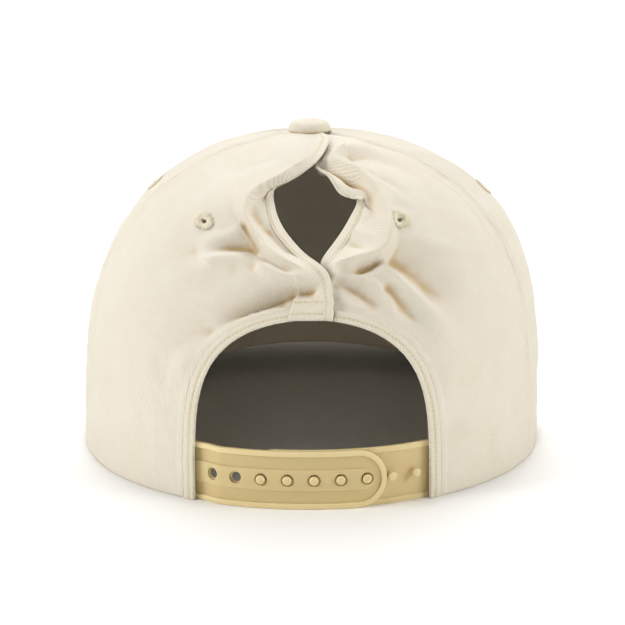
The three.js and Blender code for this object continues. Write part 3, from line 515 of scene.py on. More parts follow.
def smoothed(values, times, hold_edges=True):
    """Evens out a grid of points or numbers with their neighbours."""
    values = values.copy()
    for _ in range(times):
        inner = values[1:-1, 1:-1]
        beside = values[2:, 1:-1] + values[:-2, 1:-1] + values[1:-1, 2:] + values[1:-1, :-2]
        new = mix(inner, beside / 4, 0.6)
        if not hold_edges:
            for edge in (0, -1):
                line = values[:, edge]
                values[1:-1, edge] = mix(line[1:-1], (line[2:] + line[:-2]) / 2, 0.6)
        values[1:-1, 1:-1] = new
    return values


def set_attribute(mesh, name, kind, values):
    layer = mesh.attributes.new(name, kind, "POINT")
    field = "vector" if kind == "FLOAT_VECTOR" else "value"
    layer.data.foreach_set(field, np.asarray(values, np.float32).ravel())


def make_mesh(name, points, faces, uv=None, attributes=None, sharp=None):
    """Mesh from points in millimetres. The UV map is in metres along the cloth."""
    mesh = bpy.data.meshes.new(name)
    points = np.asarray(points, float).reshape(-1, 3) * MM
    if isinstance(faces, np.ndarray):
        faces = faces.tolist()
    mesh.from_pydata(points.tolist(), [], faces)
    mesh.polygons.foreach_set("use_smooth", [True] * len(mesh.polygons))
    if uv is not None:
        corners = np.zeros(len(mesh.loops), np.int32)
        mesh.loops.foreach_get("vertex_index", corners)
        layer = mesh.uv_layers.new(name="cloth")
        layer.data.foreach_set("uv", (np.asarray(uv).reshape(-1, 2)[corners] * MM).ravel())
    for key, values in (attributes or {}).items():
        set_attribute(mesh, key, "FLOAT", values)
    if sharp is not None:
        mesh.set_sharp_from_angle(angle=math.radians(sharp))
    mesh.validate()
    return mesh


def grid_faces(rows, columns, start=0, flip=False):
    i, j = np.meshgrid(np.arange(rows - 1), np.arange(columns - 1), indexing="ij")
    a = start + i * columns + j
    quads = np.stack([a, a + 1, a + columns + 1, a + columns], -1).reshape(-1, 4)
    return quads[:, ::-1] if flip else quads


def wall_mesh(name, outer, inner, uv, attributes=None, kept=None):
    """Closed cloth wall between two grids of points. Patches that aren't kept leave a hole with a rim."""
    rows, columns = outer.shape[:2]
    count = rows * columns
    if kept is None:
        kept = np.ones((rows - 1, columns - 1), bool)
    quads = grid_faces(rows, columns)[kept.ravel()]
    edges = np.stack([quads, np.roll(quads, -1, axis=1)], -1).reshape(-1, 2)
    keys = edges[:, 0] * (2 * count) + edges[:, 1]
    back = edges[:, 1] * (2 * count) + edges[:, 0]
    rim = edges[~np.isin(keys, back)]
    sides = np.stack([rim[:, 1], rim[:, 0], rim[:, 0] + count, rim[:, 1] + count], -1)
    faces = np.concatenate([quads, quads[:, ::-1] + count, sides])
    points = np.concatenate([outer.reshape(-1, 3), inner.reshape(-1, 3)])
    a, b, c = (points[faces[:, k]] for k in (0, 1, 2))
    d = points[faces[:, 3]]
    volume = (a * np.cross(b, c)).sum() + (a * np.cross(c, d)).sum()
    if volume < 0:
        faces = faces[:, ::-1]
    doubled = {key: np.tile(np.ravel(values), 2) for key, values in (attributes or {}).items()}
    return make_mesh(name, points, faces, np.tile(uv.reshape(-1, 2), (2, 1)), doubled)


def tube(rings, closed=False):
    """Points and faces of a closed body from rings of points. Open runs are capped."""
    count, size_of = rings.shape[:2]
    i, j = np.meshgrid(np.arange(count if closed else count - 1), np.arange(size_of), indexing="ij")
    k, after = (j + 1) % size_of, (i + 1) % count
    quads = np.stack([i * size_of + j, after * size_of + j, after * size_of + k, i * size_of + k], -1)
    faces = quads.reshape(-1, 4).tolist()
    if not closed:
        faces.append(list(range(size_of)))
        faces.append([(count - 1) * size_of + n for n in reversed(range(size_of))])
    points = rings.reshape(-1, 3)
    centre = points.mean(0)
    a, b, c, d = (points[quads.reshape(-1, 4)[:, n]] - centre for n in range(4))
    if (a * np.cross(b, c)).sum() + (a * np.cross(c, d)).sum() < 0:
        faces = [face[::-1] for face in faces]
    return points, faces


def revolved(profile, sides):
    """Rings of a profile of radius and height, turned about Z. The profile starts and ends on the axis."""
    turn = np.linspace(0, 2 * math.pi, sides, endpoint=False)
    profile = np.array(profile, float)
    radius, height = profile[:, 0, None], profile[:, 1, None]
    return np.stack([radius * np.cos(turn), radius * np.sin(turn), height + 0 * turn], -1)


def joined(parts):
    """One set of points and faces from several."""
    points, faces, start = [], [], 0
    for part_points, part_faces in parts:
        points.append(part_points)
        faces.extend([[n + start for n in face] for face in part_faces])
        start += len(part_points)
    return np.concatenate(points), faces


def piece(name, mesh, material, nodes):
    """Shows a mesh as a piece of the cap, in the place of CAD nodes."""
    shown = bpy.data.objects.new(name, mesh)
    bpy.context.scene.collection.objects.link(shown)
    mesh.materials.clear()
    mesh.materials.append(material)
    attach(shown, "root")
    if nodes:
        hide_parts(*nodes)
    return shown


def join_into(shown, mesh):
    """Adds another closed body to a piece."""
    other = bpy.data.objects.new(mesh.name, mesh)
    mesh.materials.clear()
    mesh.materials.append(shown.data.materials[0])
    bpy.context.scene.collection.objects.link(other)
    with bpy.context.temp_override(
        active_object=shown, selected_editable_objects=[shown, other], selected_objects=[shown, other]
    ):
        bpy.ops.object.join()


def add(tree, kind, links=None, **settings):
    """Adds a node with its settings. Links gives each input a value, an output or a node's first output."""
    node = tree.nodes.new(kind)
    for key, value in settings.items():
        setattr(node, key, value)
    for key, value in (links or {}).items():
        if isinstance(value, bpy.types.Node):
            value = value.outputs[0]
        if isinstance(value, bpy.types.NodeSocket):
            tree.links.new(value, node.inputs[key])
        else:
            node.inputs[key].default_value = value
    return node


def new_material(name):
    material = bpy.data.materials.new(name)
    material.use_nodes = True
    material.node_tree.nodes.clear()
    return material, material.node_tree


def rgba(values, share=1.0):
    """Colour of a socket, darkened to a share."""
    return (*(share * value for value in values), 1.0)


def rib_scale(pitch):
    """Scale of a wave texture whose ribs lie a pitch apart, in millimetres."""
    return math.pi / (10 * pitch * MM)


def cloth_material(name, base, shade, rib=0.68, rib_height=0.11, turn=0.0):
    """Washed cotton twill: soft, matt, with slanting ribs and a slight cloudiness from the wash.

    Real twill ribs lie 0.5 to 0.6 mm apart. They are drawn a little wider so that they show."""
    material, tree = new_material(name)
    cloth = add(tree, "ShaderNodeUVMap", uv_map="cloth")
    # Painted shade: this attribute marks deep folds and stitch rows, where the colour is mixed towards the
    # darker, warmer shade colour.
    hollow = add(tree, "ShaderNodeAttribute", attribute_name="hollow").outputs["Fac"]
    # The ribs wander a little, because the cloth was washed and sewn.
    drift = add(tree, "ShaderNodeTexNoise", {"Vector": cloth, "Scale": 160.0, "Detail": 2.0})
    links = {0: drift.outputs["Color"], 1: (0.0009, 0.0009, 0.0), 2: cloth}
    shifted = add(tree, "ShaderNodeVectorMath", links, operation="MULTIPLY_ADD")
    turned = add(tree, "ShaderNodeMapping", {"Vector": shifted, "Rotation": (0.0, 0.0, turn)})
    links = {"Vector": turned, "Scale": rib_scale(rib)}
    ribs = add(tree, "ShaderNodeTexWave", links, bands_direction="X").outputs["Fac"]
    links = {"Vector": turned, "Scale": 900.0 / rib, "Detail": 3.0, "Roughness": 0.6}
    yarns = add(tree, "ShaderNodeTexNoise", links)
    links = {"Vector": cloth, "Scale": 55.0, "Detail": 4.0, "Roughness": 0.6}
    clouds = add(tree, "ShaderNodeTexNoise", links)
    height = add(tree, "ShaderNodeMath", {0: yarns, 1: 0.9, 2: ribs}, operation="MULTIPLY_ADD")
    bump = add(tree, "ShaderNodeBump", {"Height": height, "Strength": 1.0, "Distance": rib_height * MM})
    # The colour mixes towards the shade colour a little with the wash's cloudiness, and more as painted shade
    # in folds and along stitch rows.
    depth = add(tree, "ShaderNodeMath", {0: clouds, 1: 0.35, 2: hollow}, operation="MULTIPLY_ADD")
    links = {"Value": depth, "From Min": 0.12, "From Max": 1.2, "To Min": 0.0, "To Max": 0.9}
    share = add(tree, "ShaderNodeMapRange", links)
    tone = add(tree, "ShaderNodeMix", {0: share, 6: rgba(base), 7: rgba(shade)}, data_type="RGBA")
    # Painted shade: the grooves between the ribs are darkened.
    links = {"Value": height, "From Min": 0.3, "From Max": 1.3, "To Min": 0.87, "To Max": 1.0}
    furrow_painted_shade = add(tree, "ShaderNodeMapRange", links)
    links = {0: 1.0, 6: tone.outputs[2], 7: furrow_painted_shade}
    shaded = add(tree, "ShaderNodeMix", links, data_type="RGBA", blend_type="MULTIPLY")
    shader = add(tree, "ShaderNodeBsdfPrincipled", {
        "Base Color": shaded.outputs[2], "Roughness": 0.88, "Normal": bump,
        "Sheen Weight": 0.25, "Sheen Roughness": 0.45, "Specular IOR Level": 0.25,
    })
    add(tree, "ShaderNodeOutputMaterial", {"Surface": shader})
    return material


def strap_material(base, painted_light):
    """Moulded soft plastic: satin, slightly cloudy and a little see-through at thin places."""
    material, tree = new_material("satin_moulded_plastic")
    place = add(tree, "ShaderNodeTexCoord").outputs["Object"]
    grain = add(tree, "ShaderNodeTexNoise", {"Vector": place, "Scale": 2500.0, "Detail": 2.0})
    flow = add(tree, "ShaderNodeTexNoise", {"Vector": place, "Scale": 60.0, "Detail": 3.0})
    bump = add(tree, "ShaderNodeBump", {"Height": grain, "Strength": 0.5, "Distance": 0.02 * MM})
    light = rgba([min(1.0, 1.06 * value) for value in base])
    body = add(tree, "ShaderNodeMix", {0: flow, 6: rgba(base, 0.93), 7: light}, data_type="RGBA")
    # Painted light: rims, pegs and the band round the holes are painted paler, for the light that comes
    # through thin plastic and the highlights that they catch.
    thin = add(tree, "ShaderNodeAttribute", attribute_name="thin").outputs["Fac"]
    tone = add(tree, "ShaderNodeMix", {0: thin, 6: body.outputs[2], 7: rgba(painted_light)}, data_type="RGBA")
    gloss = add(tree, "ShaderNodeMapRange", {"Value": flow, "To Min": 0.34, "To Max": 0.5})
    shader = add(tree, "ShaderNodeBsdfPrincipled", {
        "Base Color": tone.outputs[2], "Roughness": gloss, "IOR": 1.5, "Normal": bump,
        "Subsurface Weight": 0.15, "Subsurface Scale": 0.001, "Subsurface Radius": (1.0, 0.8, 0.5),
    })
    add(tree, "ShaderNodeOutputMaterial", {"Surface": shader})
    return material


def thread_material(name, base):
    """Spun polyester or cotton thread: silkier than the cloth, with fine twisted plies."""
    material, tree = new_material(name)
    place = add(tree, "ShaderNodeTexCoord").outputs["Object"]
    plies = add(tree, "ShaderNodeTexNoise", {"Vector": place, "Scale": 3200.0, "Detail": 2.0})
    bump = add(tree, "ShaderNodeBump", {"Height": plies, "Strength": 0.6, "Distance": 0.05 * MM})
    tone = add(tree, "ShaderNodeMix", {0: plies, 6: rgba(base, 0.86), 7: rgba(base)}, data_type="RGBA")
    shader = add(tree, "ShaderNodeBsdfPrincipled", {
        "Base Color": tone.outputs[2], "Roughness": 0.6, "Normal": bump,
        "Sheen Weight": 0.2, "Sheen Roughness": 0.4,
    })
    add(tree, "ShaderNodeOutputMaterial", {"Surface": shader})
    return material


def rope_material(base):
    """Twisted cotton rope: each strand is a bundle of fine yarns that run slantwise along it."""
    material, tree = new_material("twisted_cotton_rope")
    along = add(tree, "ShaderNodeUVMap", uv_map="cloth")
    turned = add(tree, "ShaderNodeMapping", {"Vector": along, "Rotation": (0.0, 0.0, 0.5)})
    links = {"Vector": turned, "Scale": rib_scale(0.55), "Distortion": 1.5}
    yarns = add(tree, "ShaderNodeTexWave", links, bands_direction="Y").outputs["Fac"]
    bump = add(tree, "ShaderNodeBump", {"Height": yarns, "Strength": 0.8, "Distance": 0.12 * MM})
    # Painted shade: darker between the yarns.
    tone = add(tree, "ShaderNodeMix", {0: yarns, 6: rgba(base, 0.8), 7: rgba(base)}, data_type="RGBA")
    shader = add(tree, "ShaderNodeBsdfPrincipled", {
        "Base Color": tone.outputs[2], "Roughness": 0.85, "Normal": bump,
        "Sheen Weight": 0.3, "Sheen Roughness": 0.4,
    })
    add(tree, "ShaderNodeOutputMaterial", {"Surface": shader})
    return material


def material_of(name):
    """The finish of a name, made on its first use."""
    if name in bpy.data.materials:
        return bpy.data.materials[name]
    colours = bpy.context.scene.cap_colours
    cloth, shade = list(colours.cloth), list(colours.cloth_wash_and_painted_shade)
    if name == "washed_cotton_twill":
        return cloth_material(name, cloth, shade)
    if name == "folded_hem_twill":
        return cloth_material(name, list(colours.hem), shade, turn=math.radians(50))
    if name == "plain_sweatband_cotton":
        return cloth_material(name, list(colours.sweat), shade, rib=0.6, rib_height=0.03)
    if name == "satin_moulded_plastic":
        return strap_material(list(colours.strap), list(colours.strap_painted_light))
    if name == "twisted_cotton_rope":
        return rope_material(list(colours.rope))
    return thread_material(name, list(colours.thread))


# What the pieces leave for each other: surfaces to sew on, and lines of stitches
surfaces = {}
stitch_lines = {"crown": [], "hem": [], "brim": []}

# Fine rows and columns of the back panels' grids: the hem, the facing inside the lip, the roll over its ridge
# and the field out to the seam
ROW_STEP = 0.6
HEM_COLUMNS = 8
FACING_COLUMNS = 15
ROLL_COLUMNS = 9
FIELD_COLUMNS = 92
# The raw edge that the hem hides: its width, its least distance from the free edge, and how deep it sinks
RAW_EDGE = 0.6
RAW_EDGE_START = 0.05
RAW_EDGE_DEPTH = 0.6


def panel_stations(side, lip):
    """Edge, start of the panel, ridge and foot of every fine row, with the width of its hem band."""
    shares = np.array([*ARCH_SHARES, CROSSING_SHARE] if side < 0 else ARCH_SHARES)
    arcs = np.interp(shares, ARC_SHARES, ARC_LENGTHS)
    count = len(shares)
    numbers = []
    for i in range(count - 1):
        steps = math.ceil((arcs[i + 1] - arcs[i]) / ROW_STEP)
        numbers.append(np.linspace(i, i + 1, steps, endpoint=False))
    numbers = np.concatenate([*numbers, [count - 1]])
    arc = np.interp(numbers, np.arange(count), arcs)
    share = np.interp(arc, ARC_LENGTHS, ARC_SHARES)

    def control(share_of, number):
        # Towards the crossing the rows end closer to the arch.
        near = ease((share_of - ARCH_REACH["from"]) / ARCH_REACH["length"])
        reach = mix(1, ARCH_REACH["least"], near)
        distances = (0 * reach, BAND_WIDTH + reach * ARCH_RIDGE, BAND_WIDTH + reach * ARCH_FOOT)
        parts = [beside_arch(share_of, side, distance) for distance in distances]
        seam = LAST_ARCH_SEAM * (number / count) ** ARCH_CROWDING
        hem = np.full_like(seam, BAND_WIDTH)
        return np.concatenate([*parts, hem[:, None], seam[:, None]], axis=1)

    arch = control(share, numbers)
    coarse = np.concatenate([control(shares, np.arange(count)), lip])
    if side > 0:
        # Under the crossing the right panel has no hem of its own.
        coarse[count - 1, 9] = BAND_WIDTH
    fine = []
    for i in range(count - 1, len(coarse) - 1):
        reach = max(np.linalg.norm(coarse[i + 1, k : k + 2] - coarse[i, k : k + 2]) for k in (0, 3))
        fine.append(np.linspace(i, i + 1, math.ceil(reach / ROW_STEP), endpoint=False))
    fine = np.concatenate([*fine, [len(coarse) - 1]])[1:]
    rows = np.concatenate([arch, catmull(coarse, fine)])
    return rows, np.concatenate([numbers, fine]), count


def panel_grid(side, lip, folds):
    """Fine grid of a back panel from the free edge of its hem to the side seam."""
    rows, numbers, arch_rows = panel_stations(side, lip)
    edge, ridge, foot = rows[:, None, 0:3], rows[:, None, 3:6], rows[:, None, 6:9]
    hem, seam_rise = np.maximum(rows[:, 9:10], 0), rows[:, 10:11]
    seam = math.radians(SEAMS["back_left" if side < 0 else "back_right"])
    length = np.linalg.norm(ridge[..., :2] - edge[..., :2], axis=-1)
    spots = []
    hem_share = np.linspace(0, 1, HEM_COLUMNS + 1)
    distances = hem * hem_share
    # The panel's raw edge lies inside its folded hem.
    first = np.maximum(hem - RAW_EDGE - 0.1, 0) + RAW_EDGE_START
    facing = np.arange(FACING_COLUMNS - 1) / (FACING_COLUMNS - 1)
    distances = np.concatenate([distances, first, mix(first + RAW_EDGE, length, facing)], axis=1)
    share = (distances / length)[..., None]
    # The facing falls steeply from the crest and levels out at the hem. The outer side falls evenly.
    bent = np.clip(share, 0, 1) ** FACING_CURVE
    spots.append(np.concatenate([mix(edge, ridge, share)[..., :2], mix(edge, ridge, bent)[..., 2:]], -1))
    share = (np.arange(ROLL_COLUMNS) / ROLL_COLUMNS)[None, :, None]
    bent = share**ROLL_CURVE
    spots.append(np.concatenate([mix(ridge, foot, share)[..., :2], mix(ridge, foot, bent)[..., 2:]], -1))
    spots = np.concatenate(spots, axis=1)
    angle = angle_of(spots[..., 0], spots[..., 1])
    share = (np.linspace(0, 1, FIELD_COLUMNS + 1) ** FIELD_CROWDING)[None]
    seam_end = seam + side * past_seam(seam, seam_rise)
    foot_angle = angle_of(foot[..., 0], foot[..., 1])
    field_angle = mix(foot_angle, seam_end, share)
    field_rise = mix(foot[..., 1], seam_rise, share**FIELD_BOW)
    field_out = foot[..., 2] * (1 - ease(FOOT_FADE * share))
    angle = np.concatenate([angle, field_angle], axis=1)
    rise = np.concatenate([spots[..., 1], field_rise], axis=1)
    out = np.concatenate([spots[..., 2], field_out], axis=1)
    radius = HALF_WIDTH * ring_at(angle, rise)[0]
    across = radius * np.sin(angle)
    start = HEM_COLUMNS + 1
    from_start = np.hypot(across - across[:, start : start + 1], rise - rise[:, start : start + 1])
    from_start[:, :start] = 0
    arc = radius * np.abs(angle - seam_end)
    # Higher than the crossing the outer folds stop at the crest of the lip.
    beyond = np.clip(np.arange(across.shape[1]) - HEM_COLUMNS - FACING_COLUMNS + 3, 0, 4) / 4
    beyond = np.maximum(beyond, np.clip(arch_rows + 3.5 - numbers, 0, 1)[:, None])
    quiet = beyond * ease((from_start - 1) / FOLD_RIM["edge"])
    quiet *= ease(arc / FOLD_RIM["seam"]) * ease(rise / FOLD_RIM["hem"])
    out = out + quiet * fold_height(across, rise, folds)
    # The facing has folds of its own.
    facing_end = start + FACING_COLUMNS
    inside = (slice(None), slice(start, facing_end + 1))
    calm = ease(from_start[inside] / 2.0) * ease(np.arange(FACING_COLUMNS + 1)[::-1] / 1.8)
    out[inside] += calm * fold_height(across[inside], rise[inside], FACING_FOLDS)
    points = crown(angle, rise, out)
    points[:, :start] = smoothed(points[:, :start], 5, hold_edges=False)
    points[:, start:] = smoothed(points[:, start:], 5, hold_edges=False)
    # The raw edge sinks into the hem.
    down = dome_normal(angle[:, start], rise[:, start])
    points[:, start] -= down * RAW_EDGE_DEPTH * np.minimum(hem / (2 * RAW_EDGE), 1)
    return {
        "points": points, "angle": angle, "rise": rise, "across": across, "arc": arc,
        "numbers": numbers, "arch_rows": arch_rows, "hem": hem[:, 0], "from_start": from_start,
        "like": dome_normal(angle, rise),
    }


def past_seam(angle, rise):
    """Turn by which a panel runs past its seam, so that no light comes through."""
    return SEAM_OVERLAP / (2 * HALF_WIDTH * ring_at(angle, rise)[0])


def turned_in(rise):
    """Depth by which a panel's lower edge rounds inwards."""
    return 0.5 * (1 - np.clip(rise / 1.3, 0, 1)) ** 2


def seam_relief(arc, along, seed):
    """Height beside a seam: the groove, the allowance that lies under the cloth, and its stitch row."""
    groove = -0.6 * np.exp(-((arc / 0.6) ** 2))
    allowance = 0.3 * ease((arc - 0.4) / 1.2) * (1 - ease((arc - 5.6) / 1.6))
    row = -0.22 * np.exp(-(((arc - 3.1) / 0.5) ** 2))
    pucker = 0.12 * waves(along, arc * 0.4, 9, seed) * (1 - ease((arc - 4) / 5))
    return groove + allowance + row + pucker


def painted_shade_of(points, normals):
    """How deep each point lies under its surroundings, near and farther off, up to 1: the mask of painted
    shade in the folds.
    """
    total = 0
    even = points
    for times, depth in ((14, 0.85), (70, 1.9)):
        even = smoothed(even, times)
        total = total + ((even - points) * normals).sum(-1) / depth
    return np.clip(total - 0.16, 0, 1)


def cloth_map(angle, rise, middle, slant):
    """Place on the cut cloth in millimetres, turned by the slant of its grain."""
    radius = (HALF_WIDTH + HALF_DEPTH) / 2 * ring_at(middle, rise)[0]
    u, v = (angle - middle) * radius, rise
    turn = math.radians(slant)
    return np.stack([u * math.cos(turn) - v * math.sin(turn), u * math.sin(turn) + v * math.cos(turn)], -1)


def sewing_line(points, normals, lift=0.0):
    return {"points": points + normals * lift, "normals": normals}


def sew_beside_seam(points, normals, arc, rise, distance):
    """Lays out a row of stitches on a panel at a distance from its seam. Rise has one value for each row."""
    both = np.concatenate([points, normals], -1)
    orders = np.argsort(arc, axis=1)
    found = np.array([
        interpolated(distance, line[order], values[order])
        for line, order, values in zip(arc, orders, both, strict=True)
    ])
    found = found[(rise > SEWN_RISES[0]) & (rise < SEWN_RISES[1])]
    stitch_lines["crown"].append(sewing_line(found[:, :3], unit(found[:, 3:])))


class CAP_OT_back_panels(bpy.types.Operator):
    """Builds the two gathered back panels with their lips and folds"""

    bl_idname = "cap.back_panels"
    bl_label = "Back panels"

    def execute(self, context):
        sizes = context.scene.cap_sizes
        for side, lip, word, slant in ((-1, LEFT_LIP, "left", 8), (1, RIGHT_LIP, "right", -42)):
            grid = panel_grid(side, lip, FOLDS)
            surfaces[word] = grid
            start = HEM_COLUMNS + 1
            part = {key: grid[key][:, start:] for key in ("points", "angle", "rise", "across", "arc", "like")}
            points, rise, arc = part["points"], part["rise"], part["arc"]
            normals = grid_normals(points, part["like"])
            middle = math.radians(SEAMS["back_left" if side < 0 else "back_right"]) / 2
            flat = cloth_map(part["angle"], rise, middle, 0)
            u, v = flat[..., 0], flat[..., 1]
            seed = sizes.seed + (0 if side < 0 else 50)
            calm = ease(grid["from_start"][:, start:] / 6) * ease(rise / 10)
            relief = calm * (0.5 * waves(u, v, 34, seed) + 0.28 * waves(u, v, 15, seed + 1))
            relief += 0.1 * waves(u, v, 6, seed + 2) * ease(rise / 6)
            relief += seam_relief(arc, rise, seed + 3)
            # Beside the arch the turned-in edge of the binding shows through as a low ridge.
            low = np.clip(grid["arch_rows"] - 1 - grid["numbers"], 0, 1)[:, None]
            beyond = grid["from_start"][:, start:]
            relief += low * 0.4 * (1 - ease((beyond - 1.9) / 0.8)) * ease(rise / 2)
            relief -= turned_in(rise)
            points = points + normals * relief[..., None]
            points[0, :, 2] = 0
            normals = grid_normals(points, part["like"])
            # Painted shade: deep in the folds the cloth's colour is mixed towards the darker, warmer shade
            # colour.
            hollow = painted_shade_of(points, normals)
            even = unit(smoothed(normals, 3))
            inner = points - even * CLOTH_THICKNESS
            inner[0, :, 2] = 0
            surfaces[word].update(shown=points, shown_normals=normals)
            kept = np.ones((points.shape[0] - 1, points.shape[1] - 1), bool)
            for name, _, across, eyelet_rise in EYELETS:
                if name == f"eyelet_back_{word}":
                    middle_across = (part["across"][1:, 1:] + part["across"][:-1, :-1]) / 2
                    middle_rise = (rise[1:, 1:] + rise[:-1, :-1]) / 2
                    kept = np.hypot(middle_across - across, middle_rise - eyelet_rise) > EYELET_CUT
            slanted = cloth_map(part["angle"], rise, middle, slant)
            mesh = wall_mesh(f"crown_back_{word}", points, inner, slanted, {"hollow": hollow}, kept)
            nodes = [f"back_panel_{word}"]
            surfaces[word]["piece"] = piece(
                mesh.name, mesh, material_of("washed_cotton_twill"), nodes
            )
            sew_beside_seam(points, normals, arc, rise[:, -1], sizes.seam_rows / MM)
        return {"FINISHED"}


PLAIN_PANELS = [
    ("side_left", "front_left", "back_left", 66, 20),
    ("side_right", "back_right", "front_right", 80, -25),
    ("front", "front_right", "front_left", 150, 0),
]


class CAP_OT_plain_panels(bpy.types.Operator):
    """Builds the smooth side panels and the front panel"""

    bl_idname = "cap.plain_panels"
    bl_label = "Side and front panels"

    def execute(self, context):
        sizes = context.scene.cap_sizes
        for number, (word, first, last, columns, slant) in enumerate(PLAIN_PANELS):
            from_angle, to_angle = math.radians(SEAMS[first]), math.radians(SEAMS[last])
            if to_angle < from_angle:
                to_angle += 2 * math.pi
            rise = np.linspace(0, TOP_RISE, 152)[:, None]
            share = np.linspace(0, 1, columns + 1)[None]
            angle = mix(from_angle - past_seam(from_angle, rise), to_angle + past_seam(to_angle, rise), share)
            rise = np.broadcast_to(rise, angle.shape)
            like = dome_normal(angle, rise)
            radius = (HALF_WIDTH + HALF_DEPTH) / 2 * ring_at(angle, rise)[0]
            arc_first, arc_last = (angle - from_angle) * radius, (to_angle - angle) * radius
            arc = np.minimum(arc_first, arc_last)
            seed = sizes.seed + 100 * (number + 1)
            u, v = (angle - from_angle) * HALF_WIDTH, rise
            calm = ease(arc / 9) * ease(rise / 14) * ease((TOP_RISE - rise) / 30)
            relief = calm * (0.7 * waves(u, v, 46, seed) + 0.3 * waves(u, v, 19, seed + 1))
            relief += 0.08 * waves(u, v, 6, seed + 2) + seam_relief(arc, rise, seed + 3)
            relief -= turned_in(rise)
            points = crown(angle, rise, relief)
            points[0, :, 2] = dome_point(angle[0], rise[0])[:, 2]
            normals = grid_normals(points, like)
            # Painted shade in the creases, weaker than on the back panels.
            hollow = 0.4 * painted_shade_of(points, normals)
            inner = points - unit(smoothed(normals, 3)) * CLOTH_THICKNESS
            inner[0, :, 2] = points[0, :, 2]
            kept = np.ones((points.shape[0] - 1, points.shape[1] - 1), bool)
            for name, eyelet_angle, _, eyelet_rise in EYELETS:
                if name == f"eyelet_{word}":
                    ahead = (angle[1:, 1:] - math.radians(eyelet_angle)) * radius[1:, 1:]
                    kept = np.hypot(ahead, rise[1:, 1:] - eyelet_rise) > EYELET_CUT
            surfaces[word] = {"shown": points, "shown_normals": normals, "angle": angle, "rise": rise}
            flat = cloth_map(angle, rise, (from_angle + to_angle) / 2, slant)
            mesh = wall_mesh(f"crown_{word}", points, inner, flat, {"hollow": hollow}, kept)
            node = "front_panel" if word == "front" else f"side_panel_{word[5:]}"
            shown = piece(mesh.name, mesh, material_of("washed_cotton_twill"), [node])
            for distance in (arc_first, arc_last):
                sew_beside_seam(points, normals, distance, rise[:, 0], sizes.seam_rows / MM)
        return {"FINISHED"}


# Cross-section of a hem band: shares of its width, and depth of the inner face. The free edge is at 0.
BAND_SHARES = np.array(
    [0, 0.04, 0.1, 0.17, 0.24, 0.3, 0.36, 0.42, 0.48, 0.54, 0.6, 0.66, 0.72, 0.78, 0.84, 0.9, 0.96, 1.0]
)
BAND_DEPTH = np.array([0.5, 0.9, 1.2, 1.3, *[1.35] * 12, 1.2, 0.9])
BAND_ROWS = {"arch": 0.42, "ponytail": 0.78}


def band_mesh(name, base, normals, seed, row, pitch):
    """Folded and stitched band of cloth over a grid that runs across it."""
    shares = np.linspace(0, 1, base.shape[1])
    lengths = lengths_along(base[:, 0])
    spots, facing = (
        np.stack([interpolated(BAND_SHARES, shares, line) for line in values]) for values in (base, normals)
    )
    facing = unit(facing)
    width = np.linalg.norm(base[:, -1] - base[:, 0], axis=1)
    thin = np.clip(width / BAND_WIDTH, 0.35, 1)[:, None]
    # Full at the folded edge, flatter behind it, and drawn in along the row of stitches.
    full = 0.5 * np.sqrt(1 - (1 - np.clip(BAND_SHARES / 0.17, 0, 1)) ** 2) - 0.16 * BAND_SHARES
    row_share = np.exp(-(((BAND_SHARES - row) / 0.07) ** 2))
    full[0] = -0.5
    full[-4:] = 0.3, 0.2, 0.08, -0.14
    pull = 0.09 * np.cos(2 * math.pi * lengths / pitch)[:, None] * np.exp(-(((BAND_SHARES - row) / 0.2) ** 2))
    uneven = 0.2 * waves(lengths[:, None], BAND_SHARES[None] * 4, 9, seed)
    lift = (full - 0.26 * row_share + pull + uneven * np.sin(math.pi * BAND_SHARES)) * thin
    outer = spots + facing * lift[..., None]
    inner = spots - facing * (BAND_DEPTH * thin)[..., None]
    rings = np.concatenate([outer, inner[:, ::-1]], axis=1)
    points, faces = tube(rings)
    along = np.broadcast_to(lengths[:, None], rings.shape[:2])
    cross = np.broadcast_to(np.concatenate([BAND_SHARES, BAND_SHARES[::-1]]) * BAND_WIDTH, rings.shape[:2])
    # Painted shade along the row of stitches, on the outer face.
    hollow = np.broadcast_to(np.concatenate([row_share * 0.7, BAND_SHARES * 0]), rings.shape[:2])
    mesh = make_mesh(name, points, faces, np.stack([along, cross], -1), {"hollow": hollow.ravel()})
    index = np.argmin(np.abs(BAND_SHARES - row))
    return mesh, sewing_line(outer[:, index], facing[:, index], 0.05)


# The doubled end of the left binding, over the crossing: its corners as across and rise, the rises of its two
# rows of stitches, and the grid columns that they run over
CROSSING_PATCH = {
    "low_left": (-8.2, 72.2), "low_right": (7.2, 72.2), "high_left": (-5.9, 80.6), "high_right": (7.2, 80.2)
}
PATCH_STITCH_RISES = (74.5, 78.9)
PATCH_STITCH_COLUMNS = slice(3, 36)
PATCH_GRID = (29, 49)
PATCH_OUT = 1.35


